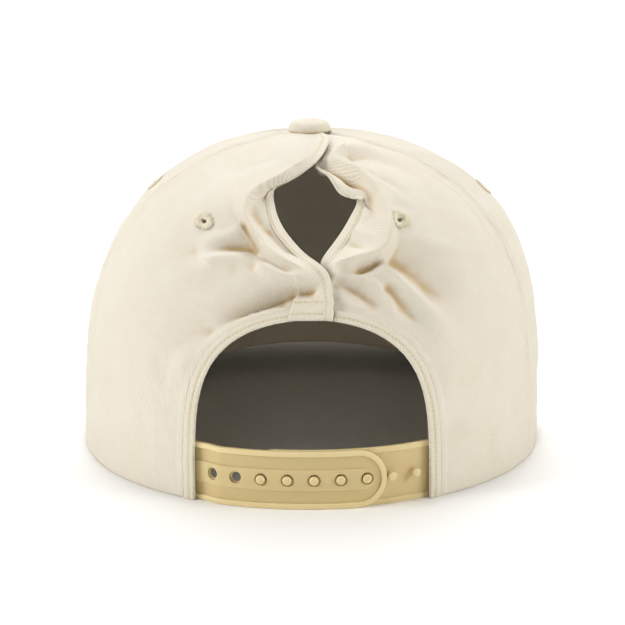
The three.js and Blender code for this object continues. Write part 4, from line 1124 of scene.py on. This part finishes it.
def patch_mesh(name):
    """Doubled end of the binding, with a row of stitches along its lower and upper edge."""
    corners = {key: np.array(value) for key, value in CROSSING_PATCH.items()}
    x = np.linspace(0, 1, PATCH_GRID[1])[None, :, None]
    y = np.linspace(0, 1, PATCH_GRID[0])[:, None, None]
    low, high = (mix(corners[f"{level}_left"], corners[f"{level}_right"], x) for level in ("low", "high"))
    spot = mix(low, high, y)
    across, rise = spot[..., 0], spot[..., 1]
    from_rim = np.minimum(
        np.minimum(x[..., 0], 1 - x[..., 0]) * 15, np.minimum(y[..., 0], 1 - y[..., 0]) * 8.2
    )
    rounding = 0.75 * (1 - np.sqrt(1 - (1 - np.clip(from_rim / 0.8, 0, 1)) ** 2))
    dips = 0.25 * sum(np.exp(-(((rise - row) / 0.35) ** 2)) for row in PATCH_STITCH_RISES)
    out = PATCH_OUT - rounding - dips + 0.12 * waves(across, rise, 6, 77)
    angle = angle_of(across, rise)
    points, inner = crown(angle, rise, out), crown(angle, rise, 0 * out - 0.1)
    flat = np.stack([across, rise], -1)
    # Painted shade in the dips of the stitch rows.
    hollow = 0.6 * np.maximum(dips / 0.25, 0) + 0 * rise
    rows = []
    for row in PATCH_STITCH_RISES:
        k = np.argmin(np.abs(rise[:, PATCH_GRID[1] // 2] - row))
        along = PATCH_STITCH_COLUMNS
        rows.append(sewing_line(points[k, along], dome_normal(angle[k], rise[k])[along], 0.05))
    return wall_mesh(name, points, inner, flat, {"hollow": hollow}), rows


def arch_base(side):
    """Points and normals under a binding of the arch, in a grid from its free edge, and that edge's across."""
    end_across = CROSSING_EDGE if side < 0 else -CROSSING_EDGE - 0.3
    share_at = math.acos(abs(end_across) / ARCH_HALF_WIDTH) / (math.pi / 2)
    end_arc = length_at_share(2 - share_at if end_across > 0 else share_at)
    arcs = np.arange(0, end_arc, 0.75)
    arcs[-1] = end_arc
    shares = share_at_length(arcs)
    distances = np.linspace(0, BAND_WIDTH, HEM_COLUMNS + 1)
    spots = np.stack([beside_arch(shares, side, np.full_like(shares, d)) for d in distances], 1)
    across, rise = spots[..., 0], spots[..., 1]
    angle = angle_of(across, rise)
    # At the crossing the right binding dips under the left one.
    under = ease((9 - across) / 5) if side > 0 else 0 * across
    return crown(angle, rise, -2.0 * under), dome_normal(angle, rise), across[:, 0]


def ponytail_base(side, grid):
    """Points and normals under a hem of the ponytail opening, in a grid from its free edge."""
    first, last = (grid["arch_rows"] + row for row in HEM_ROWS[side])
    chosen = (grid["numbers"] >= first) & (grid["numbers"] <= last)
    points = grid["points"][chosen]
    normals = unit(smoothed(grid_normals(points, grid["like"][chosen]), 4, hold_edges=False))
    base, normals = points[:, : HEM_COLUMNS + 1], normals[:, : HEM_COLUMNS + 1]
    if side > 0:
        return base, normals
    # The left hem runs on over the doubled binding, down to the arch.
    edge, rise_end, hem = LEFT_LIP[0][0], LEFT_LIP[0][1] - 0.3, LEFT_LIP[0][9]
    rise = np.arange(72.3, rise_end, 0.6)[:, None]
    across = np.linspace(edge, edge - hem, HEM_COLUMNS + 1)[None]
    angle = angle_of(across, rise)
    low_normals = dome_normal(angle, rise + 0 * across)
    return np.concatenate([crown(angle, rise, 1.5), base]), np.concatenate([low_normals, normals])


def sew_hem(row, chosen):
    """Lays out the chosen part of a row of stitches on a hem."""
    stitch_lines["hem"].append({key: values[chosen] for key, values in row.items()})


class CAP_OT_hems(bpy.types.Operator):
    """Builds the bindings of the arch and the hem bands of the ponytail opening"""

    bl_idname = "cap.hems"
    bl_label = "Bindings and hems"

    def execute(self, context):
        sizes = context.scene.cap_sizes
        finish = material_of("folded_hem_twill")
        pitch = sizes.stitch_pitch / MM
        for side, word in ((-1, "left"), (1, "right")):
            base, normals, across = arch_base(side)
            seed = sizes.seed + side
            mesh, row = band_mesh(f"arch_hem_{word}", base, normals, seed, BAND_ROWS["arch"], pitch)
            binding = piece(mesh.name, mesh, finish, [f"arch_binding_{word}"])
            sew_hem(row, across < CROSSING_PATCH["low_left"][0] if side < 0 else across > ARCH_STITCHES_END)
            if side < 0:
                patch, rows = patch_mesh("crossing_patch")
                join_into(binding, patch)
                stitch_lines["hem"] += rows
            base, normals = ponytail_base(side, surfaces[word])
            seed += 20
            mesh, row = band_mesh(f"ponytail_band_{word}", base, normals, seed, BAND_ROWS["ponytail"], pitch)
            hem = piece(mesh.name, mesh, finish, [f"ponytail_hem_{word}"])
            # The stitches show on the lower part of the opening, where the hem faces outwards.
            sew_hem(row, row["points"][:, 2] < HEM_STITCHES_END)
        return {"FINISHED"}


class CAP_OT_sweatband(bpy.types.Operator):
    """Builds the cotton band inside the lower edge"""

    bl_idname = "cap.sweatband"
    bl_label = "Sweatband"

    def execute(self, context):
        start = math.asin((ARCH_HALF_WIDTH + BAND_WIDTH + 1) / HALF_WIDTH)
        angle = np.linspace(start, 2 * math.pi - start, 420)[None]
        height = np.linspace(0, SWEAT_HEIGHT, 26)[:, None]
        angle, height = np.broadcast_arrays(angle, height)
        arc = HALF_WIDTH * (math.pi - np.abs(math.pi - angle) - start)
        room = 2.1 * (1 - ease((arc - 9) / 14))
        u = angle * HALF_WIDTH
        soft = 0.35 * waves(u, height, 24, 31) * ease(height / 8) + 0.12 * waves(u, height, 7, 32)
        round_edge = 0.9 * (1 - np.clip(height / 2.5, 0, 1)) ** 2 + 0.4 * ease((height - 27.5) / 2.5)
        points = crown(angle, height, -1.8 - room - soft * 0.5 - round_edge * 0.4)
        lift = ease((rim_lift(angle) - 1) / (2 * BRIM_THICKNESS)) * BRIM_THICKNESS
        points[..., 2] -= lift
        normals = grid_normals(points, dome_normal(angle, height))
        inner = points - normals * SWEAT_THICKNESS
        inner[0, :, 2] = points[0, :, 2]
        flat = np.stack([u, height], -1)
        # Painted shade along the row of stitches.
        hollow = 0.4 * np.exp(-(((height - SWEAT_STITCH_HEIGHT) / 0.5) ** 2))
        mesh = wall_mesh("inner_band", points, inner, flat, {"hollow": hollow})
        shown = piece(
            mesh.name, mesh, material_of("plain_sweatband_cotton"), ["sweatband"]
        )
        return {"FINISHED"}


class CAP_OT_brim(bpy.types.Operator):
    """Builds the bowed brim with its rows of stitching"""

    bl_idname = "cap.brim"
    bl_label = "Brim"

    def execute(self, context):
        sizes = context.scene.cap_sizes
        spacing = sizes.brim_row / MM
        way = np.linspace(-1, 1, 181)
        angle = way * BRIM_HALF_ANGLE
        inner = np.stack([(HALF_WIDTH - 1.5) * np.sin(angle), (HALF_DEPTH - 1.5) * np.cos(angle)], -1)
        outer = bezier(BRIM_POINTS, 1 - np.abs(way))
        outer[:, 0] *= np.sign(way)
        reach = np.linalg.norm(outer - inner, axis=1)
        radius = np.minimum(BRIM_THICKNESS / 2, reach / 3)
        flat_steps = 84
        top = np.linspace(0, 1, flat_steps)[:, None] * (reach - radius)
        turn = np.linspace(0, math.pi, 10)[1:-1, None]
        around = reach - radius + radius * np.sin(turn)
        distance = np.concatenate([top, around, top[::-1]])
        drop = np.concatenate([
            top * 0, (1 - np.cos(turn)) / 2 * BRIM_THICKNESS + 0 * reach, top * 0 + BRIM_THICKNESS,
        ])
        spot = mix(inner, outer, (distance / np.maximum(reach, 1e-6))[..., None])
        height = brim_top(spot[..., 0], spot[..., 1]) - drop
        # Each row of thread draws the cloth into the stiff board inside.
        from_edge = reach - distance
        rows = [FIRST_BRIM_ROW + spacing * i for i in range(BRIM_STITCH_ROWS)]
        dent = sum(np.exp(-(((from_edge - row) / 0.6) ** 2)) for row in rows)
        dent = dent * ease((distance - 2) / 3)
        upper = np.concatenate([top * 0 + 1, around * 0, top * 0 - 1])
        soft = 0.25 * waves(spot[..., 0], spot[..., 1], 30, 41)
        height = height - upper * (0.25 * dent - 0.1 * soft)
        points = np.stack([spot[..., 0], CROWN_Y + spot[..., 1], height], -1)
        rings = np.transpose(points, (1, 0, 2))
        body, faces = tube(rings)
        # Painted shade in the dents of the stitch rows.
        hollow = np.transpose(0.35 * dent).ravel()
        flat = np.transpose(spot, (1, 0, 2))
        mesh = make_mesh("brim_cloth", body, faces, flat, {"hollow": hollow})
        piece(mesh.name, mesh, material_of("washed_cotton_twill"), ["brim"])
        for row in rows:
            for under in (0, 1):
                good = reach > row + 4
                where = mix(inner, outer, ((reach - row) / np.maximum(reach, 1e-6))[:, None])[good]
                z = brim_top(where[:, 0], where[:, 1]) - (BRIM_THICKNESS - 0.25 if under else 0.25)
                line = np.stack([where[:, 0], CROWN_Y + where[:, 1], z], -1)
                up = np.zeros_like(line) + (0, 0, -1 if under else 1)
                if len(line) > 4:
                    stitch_lines["brim"].append(sewing_line(line, up, 0.08))
        return {"FINISHED"}


class CAP_OT_rope(bpy.types.Operator):
    """Builds the twisted rope across the front"""

    bl_idname = "cap.rope"
    bl_label = "Rope"

    def execute(self, context):
        sizes = context.scene.cap_sizes
        radius = sizes.rope / MM / 2
        angle = math.pi - np.linspace(-1, 1, 700) * ROPE_HALF_ANGLE
        path = crown(angle, 0 * angle, 0 * angle + radius + 0.3)
        over = np.maximum(rim_lift(angle), brim_top(path[:, 0], path[:, 1] - CROWN_Y))
        path[:, 2] = over + radius + 0.3
        lengths = lengths_along(path)
        tangent = unit(np.gradient(path, axis=0))
        side = unit(np.cross(tangent, (0, 0, 1)))
        up = np.cross(side, tangent)
        strand = radius * STRAND_SHARE
        parts, flat = [], []
        # The ends are drawn in where they are sewn down.
        taper = ease(lengths / 5 + 0.25) * ease((lengths[-1] - lengths) / 5 + 0.25)
        turn = np.linspace(0, 2 * math.pi, 12, endpoint=False)
        for k in range(ROPE_STRANDS):
            phase = 2 * math.pi * (lengths / (sizes.rope_lay / MM) + k / ROPE_STRANDS)
            offset = side * np.cos(phase)[:, None] + up * np.sin(phase)[:, None]
            line = path + offset * ((radius - strand) * taper)[:, None]
            ahead = unit(np.gradient(line, axis=0))
            out = unit(offset - ahead * (offset * ahead).sum(-1, keepdims=True))
            beside = np.cross(ahead, out)
            ring = out[:, None] * np.cos(turn)[:, None] + beside[:, None] * np.sin(turn)[:, None]
            rings = line[:, None] + ring * (strand * taper)[:, None, None]
            parts.append(tube(rings))
            around = np.broadcast_to(turn * strand, rings.shape[:2])
            flat.append(np.stack([np.broadcast_to(lengths[:, None], rings.shape[:2]), around], -1))
        points, faces = joined(parts)
        mesh = make_mesh("rope_twist", points, faces, np.concatenate([f.reshape(-1, 2) for f in flat]))
        piece(mesh.name, mesh, material_of("twisted_cotton_rope"), ["front_rope"])
        return {"FINISHED"}


def strap_point(along, height, out):
    """Strap spots are laid off along the crown's lower edge, from the centre back towards +X."""
    along, height, out = np.broadcast_arrays(along, height, out)
    angle = along / HALF_DEPTH
    for _ in range(4):
        angle = along / np.hypot(HALF_WIDTH * np.cos(angle / 2), HALF_DEPTH * np.sin(angle / 2))
    points = crown(angle, np.zeros_like(angle), out)
    points[..., 2] = height
    return points


def outer_depth(along):
    return -STRAP_INSET - 2 * ease((-along - 33) / 9)


def inner_depth(along):
    return -STRAP_INSET - STRAP_THICKNESS - 0.3 - 0.3 * ease((along - 30) / 10)


def stadium(left, right, low, high, round_left, round_right, steps=20):
    """Outline of a plate whose ends are round or square."""
    radius, middle = (high - low) / 2, (high + low) / 2
    outline = []
    for end, inwards, rounded in ((right, -1, round_right), (left, 1, round_left)):
        start = inwards * math.pi / 2
        centre = end + inwards * radius
        if rounded:
            for turn in np.linspace(start, start + math.pi, steps):
                outline.append((centre + radius * math.cos(turn), middle + radius * math.sin(turn)))
        else:
            outline += [(end, middle + inwards * radius), (end, middle - inwards * radius)]
    return outline


def circle(x, y, radius, steps=28):
    turns = np.linspace(0, 2 * math.pi, steps, endpoint=False)
    return [(x + radius * math.cos(t), y + radius * math.sin(t)) for t in turns]


def plate(outlines, low, high, bevel, depth):
    """Flat plate with holes and rounded edges, bent along the back of the cap."""
    shape = bpy.data.curves.new("plate", "CURVE")
    shape.dimensions, shape.fill_mode = "2D", "BOTH"
    shape.extrude, shape.bevel_depth, shape.bevel_resolution = (high - low) / 2 - bevel, bevel, 2
    shape.offset = -bevel
    for outline in outlines:
        spline = shape.splines.new("POLY")
        spline.points.add(len(outline) - 1)
        for point, (x, y) in zip(spline.points, outline, strict=True):
            point.co = (x, y, 0, 1)
        spline.use_cyclic_u = True
    holder = bpy.data.objects.new("plate", shape)
    bpy.context.scene.collection.objects.link(holder)
    flat = bpy.data.meshes.new_from_object(holder.evaluated_get(bpy.context.evaluated_depsgraph_get()))
    bpy.data.objects.remove(holder)
    bpy.data.curves.remove(shape)
    work = bmesh.new()
    work.from_mesh(flat)
    bmesh.ops.remove_doubles(work, verts=work.verts, dist=0.001)
    xs = [v.co.x for v in work.verts]
    for x in np.arange(math.floor(min(xs)), max(xs), 1.2):
        everything = [*work.verts, *work.edges, *work.faces]
        bmesh.ops.bisect_plane(work, geom=everything, plane_co=(x, 0, 0), plane_no=(1, 0, 0), dist=0.0005)
    bmesh.ops.recalc_face_normals(work, faces=work.faces)
    work.verts.index_update()
    flat_points = np.array([v.co[:] for v in work.verts])
    faces = [[v.index for v in face.verts] for face in work.faces]
    work.free()
    bpy.data.meshes.remove(flat)
    along, height = flat_points[:, 0], flat_points[:, 1]
    out = depth(along) + (low + high) / 2 + flat_points[:, 2]
    return strap_point(along, height, out), faces


class CAP_OT_strap(bpy.types.Operator):
    """Builds the snap strap: the outer piece with holes over the inner piece with pegs"""

    bl_idname = "cap.strap"
    bl_label = "Snap strap"

    def execute(self, context):
        pitch = context.scene.cap_sizes.hole_pitch / MM
        finish = material_of("satin_moulded_plastic")
        middle = STRAP_HEIGHT / 2
        holes = [FIRST_HOLE + pitch * i for i in range(STRAP_COUNT)]
        left, right = -STRAP_HIDDEN_END, OUTER_STRAP_END
        wide = [circle(x, middle, HOLE_RADIUS) for x in holes]
        narrow = [circle(x, middle, HOLE_BOTTOM_RADIUS) for x in holes]
        low, high = STRAP_RIM, STRAP_HEIGHT - STRAP_RIM
        outline = stadium(left, right, 0, STRAP_HEIGHT, False, True)
        inset = stadium(left + 1, right - STRAP_RIM, low, high, False, True)
        half, back = HOLE_BAND
        band = stadium(left, right - back, middle - half, middle + half, False, True)
        parts = [
            plate([outline, *wide], -1.0, -0.35, 0.12, outer_depth),
            plate([outline, *narrow], -STRAP_THICKNESS, -0.95, 0.12, outer_depth),
            plate([outline, inset], -0.6, 0.45, 0.42, outer_depth),
            plate([band, *wide], -0.6, 0.1, 0.2, outer_depth),
        ]
        points, faces = joined(parts)
        # How much painted light each plate gets: the rim most, the band round the holes a little.
        thin = np.repeat((0.0, 0.0, 1.0, 0.25), [len(part[0]) for part in parts])
        mesh = make_mesh("strap_with_holes", points, faces, attributes={"thin": thin}, sharp=40)
        piece(mesh.name, mesh, finish, ["snap_strap_outer"])
        outline = stadium(INNER_STRAP_END, STRAP_HIDDEN_END, 0, STRAP_HEIGHT, True, False)
        inset = stadium(INNER_STRAP_END + STRAP_RIM, STRAP_HIDDEN_END - 1, low, high, True, False)
        parts = [
            plate([outline], -STRAP_THICKNESS, -0.3, 0.15, inner_depth),
            plate([outline, inset], -0.5, 0.05, 0.22, inner_depth),
        ]
        for i in range(STRAP_COUNT):
            along = FIRST_PEG + pitch * i
            rings = revolved(PEG_PROFILE, 18)
            base = strap_point(along, middle, inner_depth(along))
            axis = unit(strap_point(along, middle, inner_depth(along) + 1) - base)
            beside = unit(np.cross((0, 0, 1), axis))
            level = base + rings[..., :1] * beside + rings[..., 1:2] * np.array((0, 0, 1))
            parts.append(tube(level + rings[..., 2:] * axis))
        points, faces = joined(parts)
        # How much painted light the rim and the pegs get.
        thin = np.repeat([0.0, 0.7] + [0.9] * STRAP_COUNT, [len(part[0]) for part in parts])
        mesh = make_mesh("strap_with_pegs", points, faces, attributes={"thin": thin}, sharp=40)
        piece(mesh.name, mesh, finish, ["snap_strap_inner"])
        return {"FINISHED"}


def stitch_tree():
    """Node tree that lays a stitch on every point of a mesh, along its own direction."""
    tree = bpy.data.node_groups.new("stitches", "GeometryNodeTree")
    sockets = {}
    for name, kind in (
        ("Points", "Geometry"), ("Length", "Float"), ("Width", "Float"), ("Height", "Float"),
        ("Uneven", "Float"), ("Seed", "Int"), ("Thread", "Material"),
    ):
        socket = tree.interface.new_socket(name=name, in_out="INPUT", socket_type=f"NodeSocket{kind}")
        sockets[name] = socket.identifier
    tree.interface.new_socket(name="Stitches", in_out="OUTPUT", socket_type="NodeSocketGeometry")
    given = add(tree, "NodeGroupInput").outputs
    along = add(tree, "GeometryNodeInputNamedAttribute", {"Name": "along"}, data_type="FLOAT_VECTOR")
    up = add(tree, "GeometryNodeInputNamedAttribute", {"Name": "up"}, data_type="FLOAT_VECTOR")
    axes = {"primary_axis": "X", "secondary_axis": "Z"}
    turn = add(tree, "FunctionNodeAxesToRotation", {0: along, 1: up}, **axes)
    bead = add(tree, "GeometryNodeMeshUVSphere", {"Segments": 6, "Rings": 4, "Radius": 0.5})
    links = {0: given["Length"], 1: given["Width"], 2: given["Height"]}
    extents = add(tree, "ShaderNodeCombineXYZ", links)
    smooth = add(tree, "GeometryNodeSetShadeSmooth", {0: bead})
    shaped = add(tree, "GeometryNodeTransform", {"Geometry": smooth, "Scale": extents})
    least = add(tree, "ShaderNodeMath", {0: 1.0, 1: given["Uneven"]}, operation="SUBTRACT")
    most = add(tree, "ShaderNodeMath", {0: 1.0, 1: given["Uneven"]}, operation="ADD")
    uneven = add(tree, "FunctionNodeRandomValue", {2: least, 3: most, 8: given["Seed"]}, data_type="FLOAT")
    placed = add(tree, "GeometryNodeInstanceOnPoints", {
        "Points": given["Points"], "Instance": shaped, "Rotation": turn, "Scale": uneven.outputs[1],
    })
    real = add(tree, "GeometryNodeRealizeInstances", {"Geometry": placed})
    dressed = add(tree, "GeometryNodeSetMaterial", {"Geometry": real, "Material": given["Thread"]})
    add(tree, "NodeGroupOutput", {0: dressed})
    return tree, sockets


def stitches(name, spots, values):
    """Plain mesh of stitches at spots of place, direction and up."""
    tree, sockets = stitch_tree()
    places, along, up = spots
    points = bpy.data.meshes.new(name)
    points.from_pydata((places * MM).tolist(), [], [])
    set_attribute(points, "along", "FLOAT_VECTOR", along)
    set_attribute(points, "up", "FLOAT_VECTOR", up)
    holder = bpy.data.objects.new(name, points)
    bpy.context.scene.collection.objects.link(holder)
    modifier = holder.modifiers.new("stitches", "NODES")
    modifier.node_group = tree
    for key, value in values.items():
        modifier[sockets[key]] = value
    shown = holder.evaluated_get(bpy.context.evaluated_depsgraph_get())
    mesh = bpy.data.meshes.new_from_object(shown)
    holder.modifiers.remove(modifier)
    bpy.data.objects.remove(holder)
    bpy.data.meshes.remove(points)
    mesh.name = name
    return mesh


def spaced(line, pitch):
    """Places, directions and normals at every pitch along a sewing line."""
    points, normals = line["points"], line["normals"]
    lengths = lengths_along(points)
    count = max(int(lengths[-1] / pitch), 1)
    at = (np.arange(count) + 0.5) * lengths[-1] / count
    ahead = interpolated(at + 0.5, lengths, points) - interpolated(at - 0.5, lengths, points)
    return interpolated(at, lengths, points), unit(ahead), unit(interpolated(at, lengths, normals))


class CAP_OT_stitching(bpy.types.Operator):
    """Sews the rows of topstitching on the crown, hems and brim"""

    bl_idname = "cap.stitching"
    bl_label = "Topstitching"

    def execute(self, context):
        sizes = context.scene.cap_sizes
        thread = material_of("sewing_thread")
        slots = {"crown": "cotton_twill", "hem": "twill_hem", "brim": "cotton_twill"}
        for word, slot in slots.items():
            rows = [spaced(line, sizes.stitch_pitch / MM) for line in stitch_lines[word]]
            if not rows:
                raise RuntimeError(f"there is no line to sew on the {word}")
            spots = [np.concatenate(part) for part in zip(*rows, strict=True)]
            values = {
                "Length": sizes.stitch_length, "Width": sizes.thread, "Height": sizes.thread * 0.8,
                "Uneven": 0.08, "Seed": sizes.seed, "Thread": thread,
            }
            mesh = stitches(f"stitching_{word}", spots, values)
            piece(mesh.name, mesh, thread, [])
        return {"FINISHED"}


def sampled(word, across, rise):
    """Point and normal of a panel's face at a spot of its chart."""
    grid = surfaces[word]
    start = HEM_COLUMNS + 1 if "across" in grid else 0
    chart = np.stack([grid["across" if start else "angle"][:, start:], grid["rise"][:, start:]], -1)
    if not start:
        chart[..., 0] = chart[..., 0] * HALF_DEPTH
    if "tree" not in grid:
        tree = KDTree(chart[..., 0].size)
        for i, (x, y) in enumerate(chart.reshape(-1, 2)):
            tree.insert((x, y, 0), i)
        tree.balance()
        grid["tree"] = tree
    points, normals = grid["shown"].reshape(-1, 3), grid["shown_normals"].reshape(-1, 3)
    near = grid["tree"].find_n((across, rise, 0), 6)
    weights = np.array([1 / (distance + 0.15) ** 2 for _, _, distance in near])
    index = [i for _, i, _ in near]
    weights /= weights.sum()
    return weights @ points[index], unit(weights @ normals[index])


class CAP_OT_eyelets(bpy.types.Operator):
    """Works the four eyelets with thread"""

    bl_idname = "cap.eyelets"
    bl_label = "Eyelets"

    def execute(self, context):
        sizes = context.scene.cap_sizes
        thread = material_of("eyelet_embroidery_thread")
        for name, angle, across, rise in EYELETS:
            word = name.split("_", 1)[1].replace("back_", "")
            if across is None:
                radius = HALF_DEPTH * float(ring_at(math.radians(angle), rise)[0])
                centre, stretch = math.radians(angle) * HALF_DEPTH, HALF_DEPTH / radius
            else:
                centre, stretch = across, 1.0
            turns = np.linspace(0, 2 * math.pi, 40, endpoint=False)
            rings = np.zeros((len(turns), len(EYELET_SECTION), 3))
            for i, turn in enumerate(turns):
                for k, (radius, out) in enumerate(EYELET_SECTION):
                    x = centre + radius * math.cos(turn) * stretch
                    point, normal = sampled(word, x, rise + radius * math.sin(turn))
                    rings[i, k] = point + normal * out
            # The ring's section closes under the cloth.
            body = make_mesh(name, *tube(rings, closed=True))
            places, along, up = [], [], []
            count = sizes.eyelet_threads
            middle = (EYELET_HOLE + EYELET_OUTER) / 2
            for i in range(count):
                turn = 2 * math.pi * (i + 0.15 * math.sin(i * 2.4)) / count
                ends = [
                    sampled(word, centre + r * math.cos(turn) * stretch, rise + r * math.sin(turn))
                    for r in (EYELET_HOLE, middle, EYELET_OUTER)
                ]
                places.append(ends[1][0] + ends[1][1] * 0.42)
                along.append(unit(ends[2][0] - ends[0][0]))
                up.append(ends[1][1])
            width, height = EYELET_THREAD
            values = {
                "Length": (EYELET_OUTER - EYELET_HOLE + 0.3) * MM, "Width": width * MM, "Height": height * MM,
                "Uneven": 0.07, "Seed": sizes.seed, "Thread": thread,
            }
            mesh = stitches(f"{name}_thread", [np.array(v) for v in (places, along, up)], values)
            worked = piece(f"worked_{name}", mesh, thread, [name])
            join_into(worked, body)
        return {"FINISHED"}


class CAP_OT_button(bpy.types.Operator):
    """Builds the cloth-covered button"""

    bl_idname = "cap.button"
    bl_label = "Top button"

    def execute(self, context):
        fine = catmull(np.array(BUTTON_PROFILE, float), np.linspace(0, len(BUTTON_PROFILE) - 1, 90))
        fine[:, 0] = np.maximum(fine[:, 0], 0)
        rings = revolved(fine, BUTTON_SIDES)
        turn = np.linspace(0, 2 * math.pi, BUTTON_SIDES, endpoint=False)
        height = fine[:, 1, None]
        # Small pleats where the cloth is gathered under the rim
        pleats = 0.12 * np.sin(turn * 15 + 0.7 * np.sin(3 * turn)) * np.exp(-(((height - 0.8) / 1.1) ** 2))
        away = unit(rings * (1, 1, 0))
        rings = rings + away * pleats[..., None]
        rings[..., 2] += CROWN_HEIGHT + BUTTON_LIFT
        rings[..., 1] += CROWN_Y
        points, faces = tube(rings)
        flat = rings[..., :2] + (rings[..., 2:] - CROWN_HEIGHT) * 0.5
        # Painted shade at the foot of the button, where it meets the crown.
        hollow = np.broadcast_to(np.exp(-((height / 0.7) ** 2)), rings.shape[:2])
        mesh = make_mesh("covered_button", points, faces, flat, {"hollow": hollow.ravel()})
        piece(mesh.name, mesh, material_of("washed_cotton_twill"), ["top_button"])
        return {"FINISHED"}


def area_light(name, place, aim, width, power, tint):
    light = bpy.data.lights.new(name, "AREA")
    light.shape, light.size, light.energy, light.color = "DISK", width, power, tint
    shown = bpy.data.objects.new(name, light)
    shown.location = place
    shown.rotation_euler = (Vector(aim) - Vector(place)).to_track_quat("-Z", "Y").to_euler()
    bpy.context.scene.collection.objects.link(shown)


class CAP_OT_stage(bpy.types.Operator):
    """Sets up the floor, soft studio light and camera"""

    bl_idname = "cap.stage"
    bl_label = "Stage"

    def execute(self, context):
        scene = context.scene
        turns = np.linspace(0, 2 * math.pi, 96, endpoint=False)
        rim = FLOOR_RADIUS * np.stack([np.cos(turns), np.sin(turns), 0 * turns], -1)
        floor = bpy.data.objects.new("floor", make_mesh("floor", rim, [list(range(len(turns)))]))
        material, tree = new_material("matt_studio_floor")
        finish = {"Base Color": rgba(scene.cap_colours.floor), "Roughness": 0.9, "Specular IOR Level": 0.1}
        shader = add(tree, "ShaderNodeBsdfPrincipled", finish)
        add(tree, "ShaderNodeOutputMaterial", {"Surface": shader})
        floor.data.materials.append(material)
        scene.collection.objects.link(floor)
        for row in LIGHTS:
            area_light(*row)
        target = Vector((0, CROWN_Y * MM, VIEW_HEIGHT * MM))
        lean = math.radians(VIEW_ELEVATION)
        camera = bpy.data.cameras.new("camera")
        camera.lens, camera.sensor_width, camera.shift_x = LENS, 36, SHIFT
        camera.clip_start, camera.clip_end = 0.05, 50
        shown = bpy.data.objects.new("camera", camera)
        shown.location = target + Vector((0, -math.cos(lean), math.sin(lean))) * VIEW_DISTANCE * MM
        turn = Matrix.Rotation(math.pi / 2 - lean, 3, "X") @ Matrix.Rotation(math.radians(VIEW_ROLL), 3, "Z")
        shown.rotation_euler = turn.to_euler()
        scene.collection.objects.link(shown)
        scene.camera = shown
        scene.view_settings.view_transform = "Standard"
        return {"FINISHED"}


class CAP_PT_panel(bpy.types.Panel):
    """Lists the steps that build the cap"""

    bl_label = "Rope cap"
    bl_idname = "CAP_PT_panel"
    bl_space_type = "VIEW_3D"
    bl_region_type = "UI"
    bl_category = "Rope cap"

    def draw(self, context):
        for group in (context.scene.cap_sizes, context.scene.cap_colours):
            box = self.layout.box()
            for name in group.__annotations__:
                box.prop(group, name)
        for step in STEPS:
            self.layout.operator(step.bl_idname)


STEPS = [
    CAP_OT_stage, CAP_OT_back_panels, CAP_OT_plain_panels, CAP_OT_hems, CAP_OT_sweatband, CAP_OT_brim,
    CAP_OT_rope, CAP_OT_strap, CAP_OT_eyelets, CAP_OT_button, CAP_OT_stitching,
]
CLASSES = [CapSizes, CapColours, *STEPS, CAP_PT_panel]


def register():
    for cls in CLASSES:
        bpy.utils.register_class(cls)
    bpy.types.Scene.cap_sizes = PointerProperty(type=CapSizes)
    bpy.types.Scene.cap_colours = PointerProperty(type=CapColours)


def unregister():
    del bpy.types.Scene.cap_sizes
    del bpy.types.Scene.cap_colours
    for cls in reversed(CLASSES):
        bpy.utils.unregister_class(cls)


def main():
    register()
    for step in STEPS:
        group, name = step.bl_idname.split(".")
        getattr(getattr(bpy.ops, group), name)()


if __name__ == "__main__":
    main()
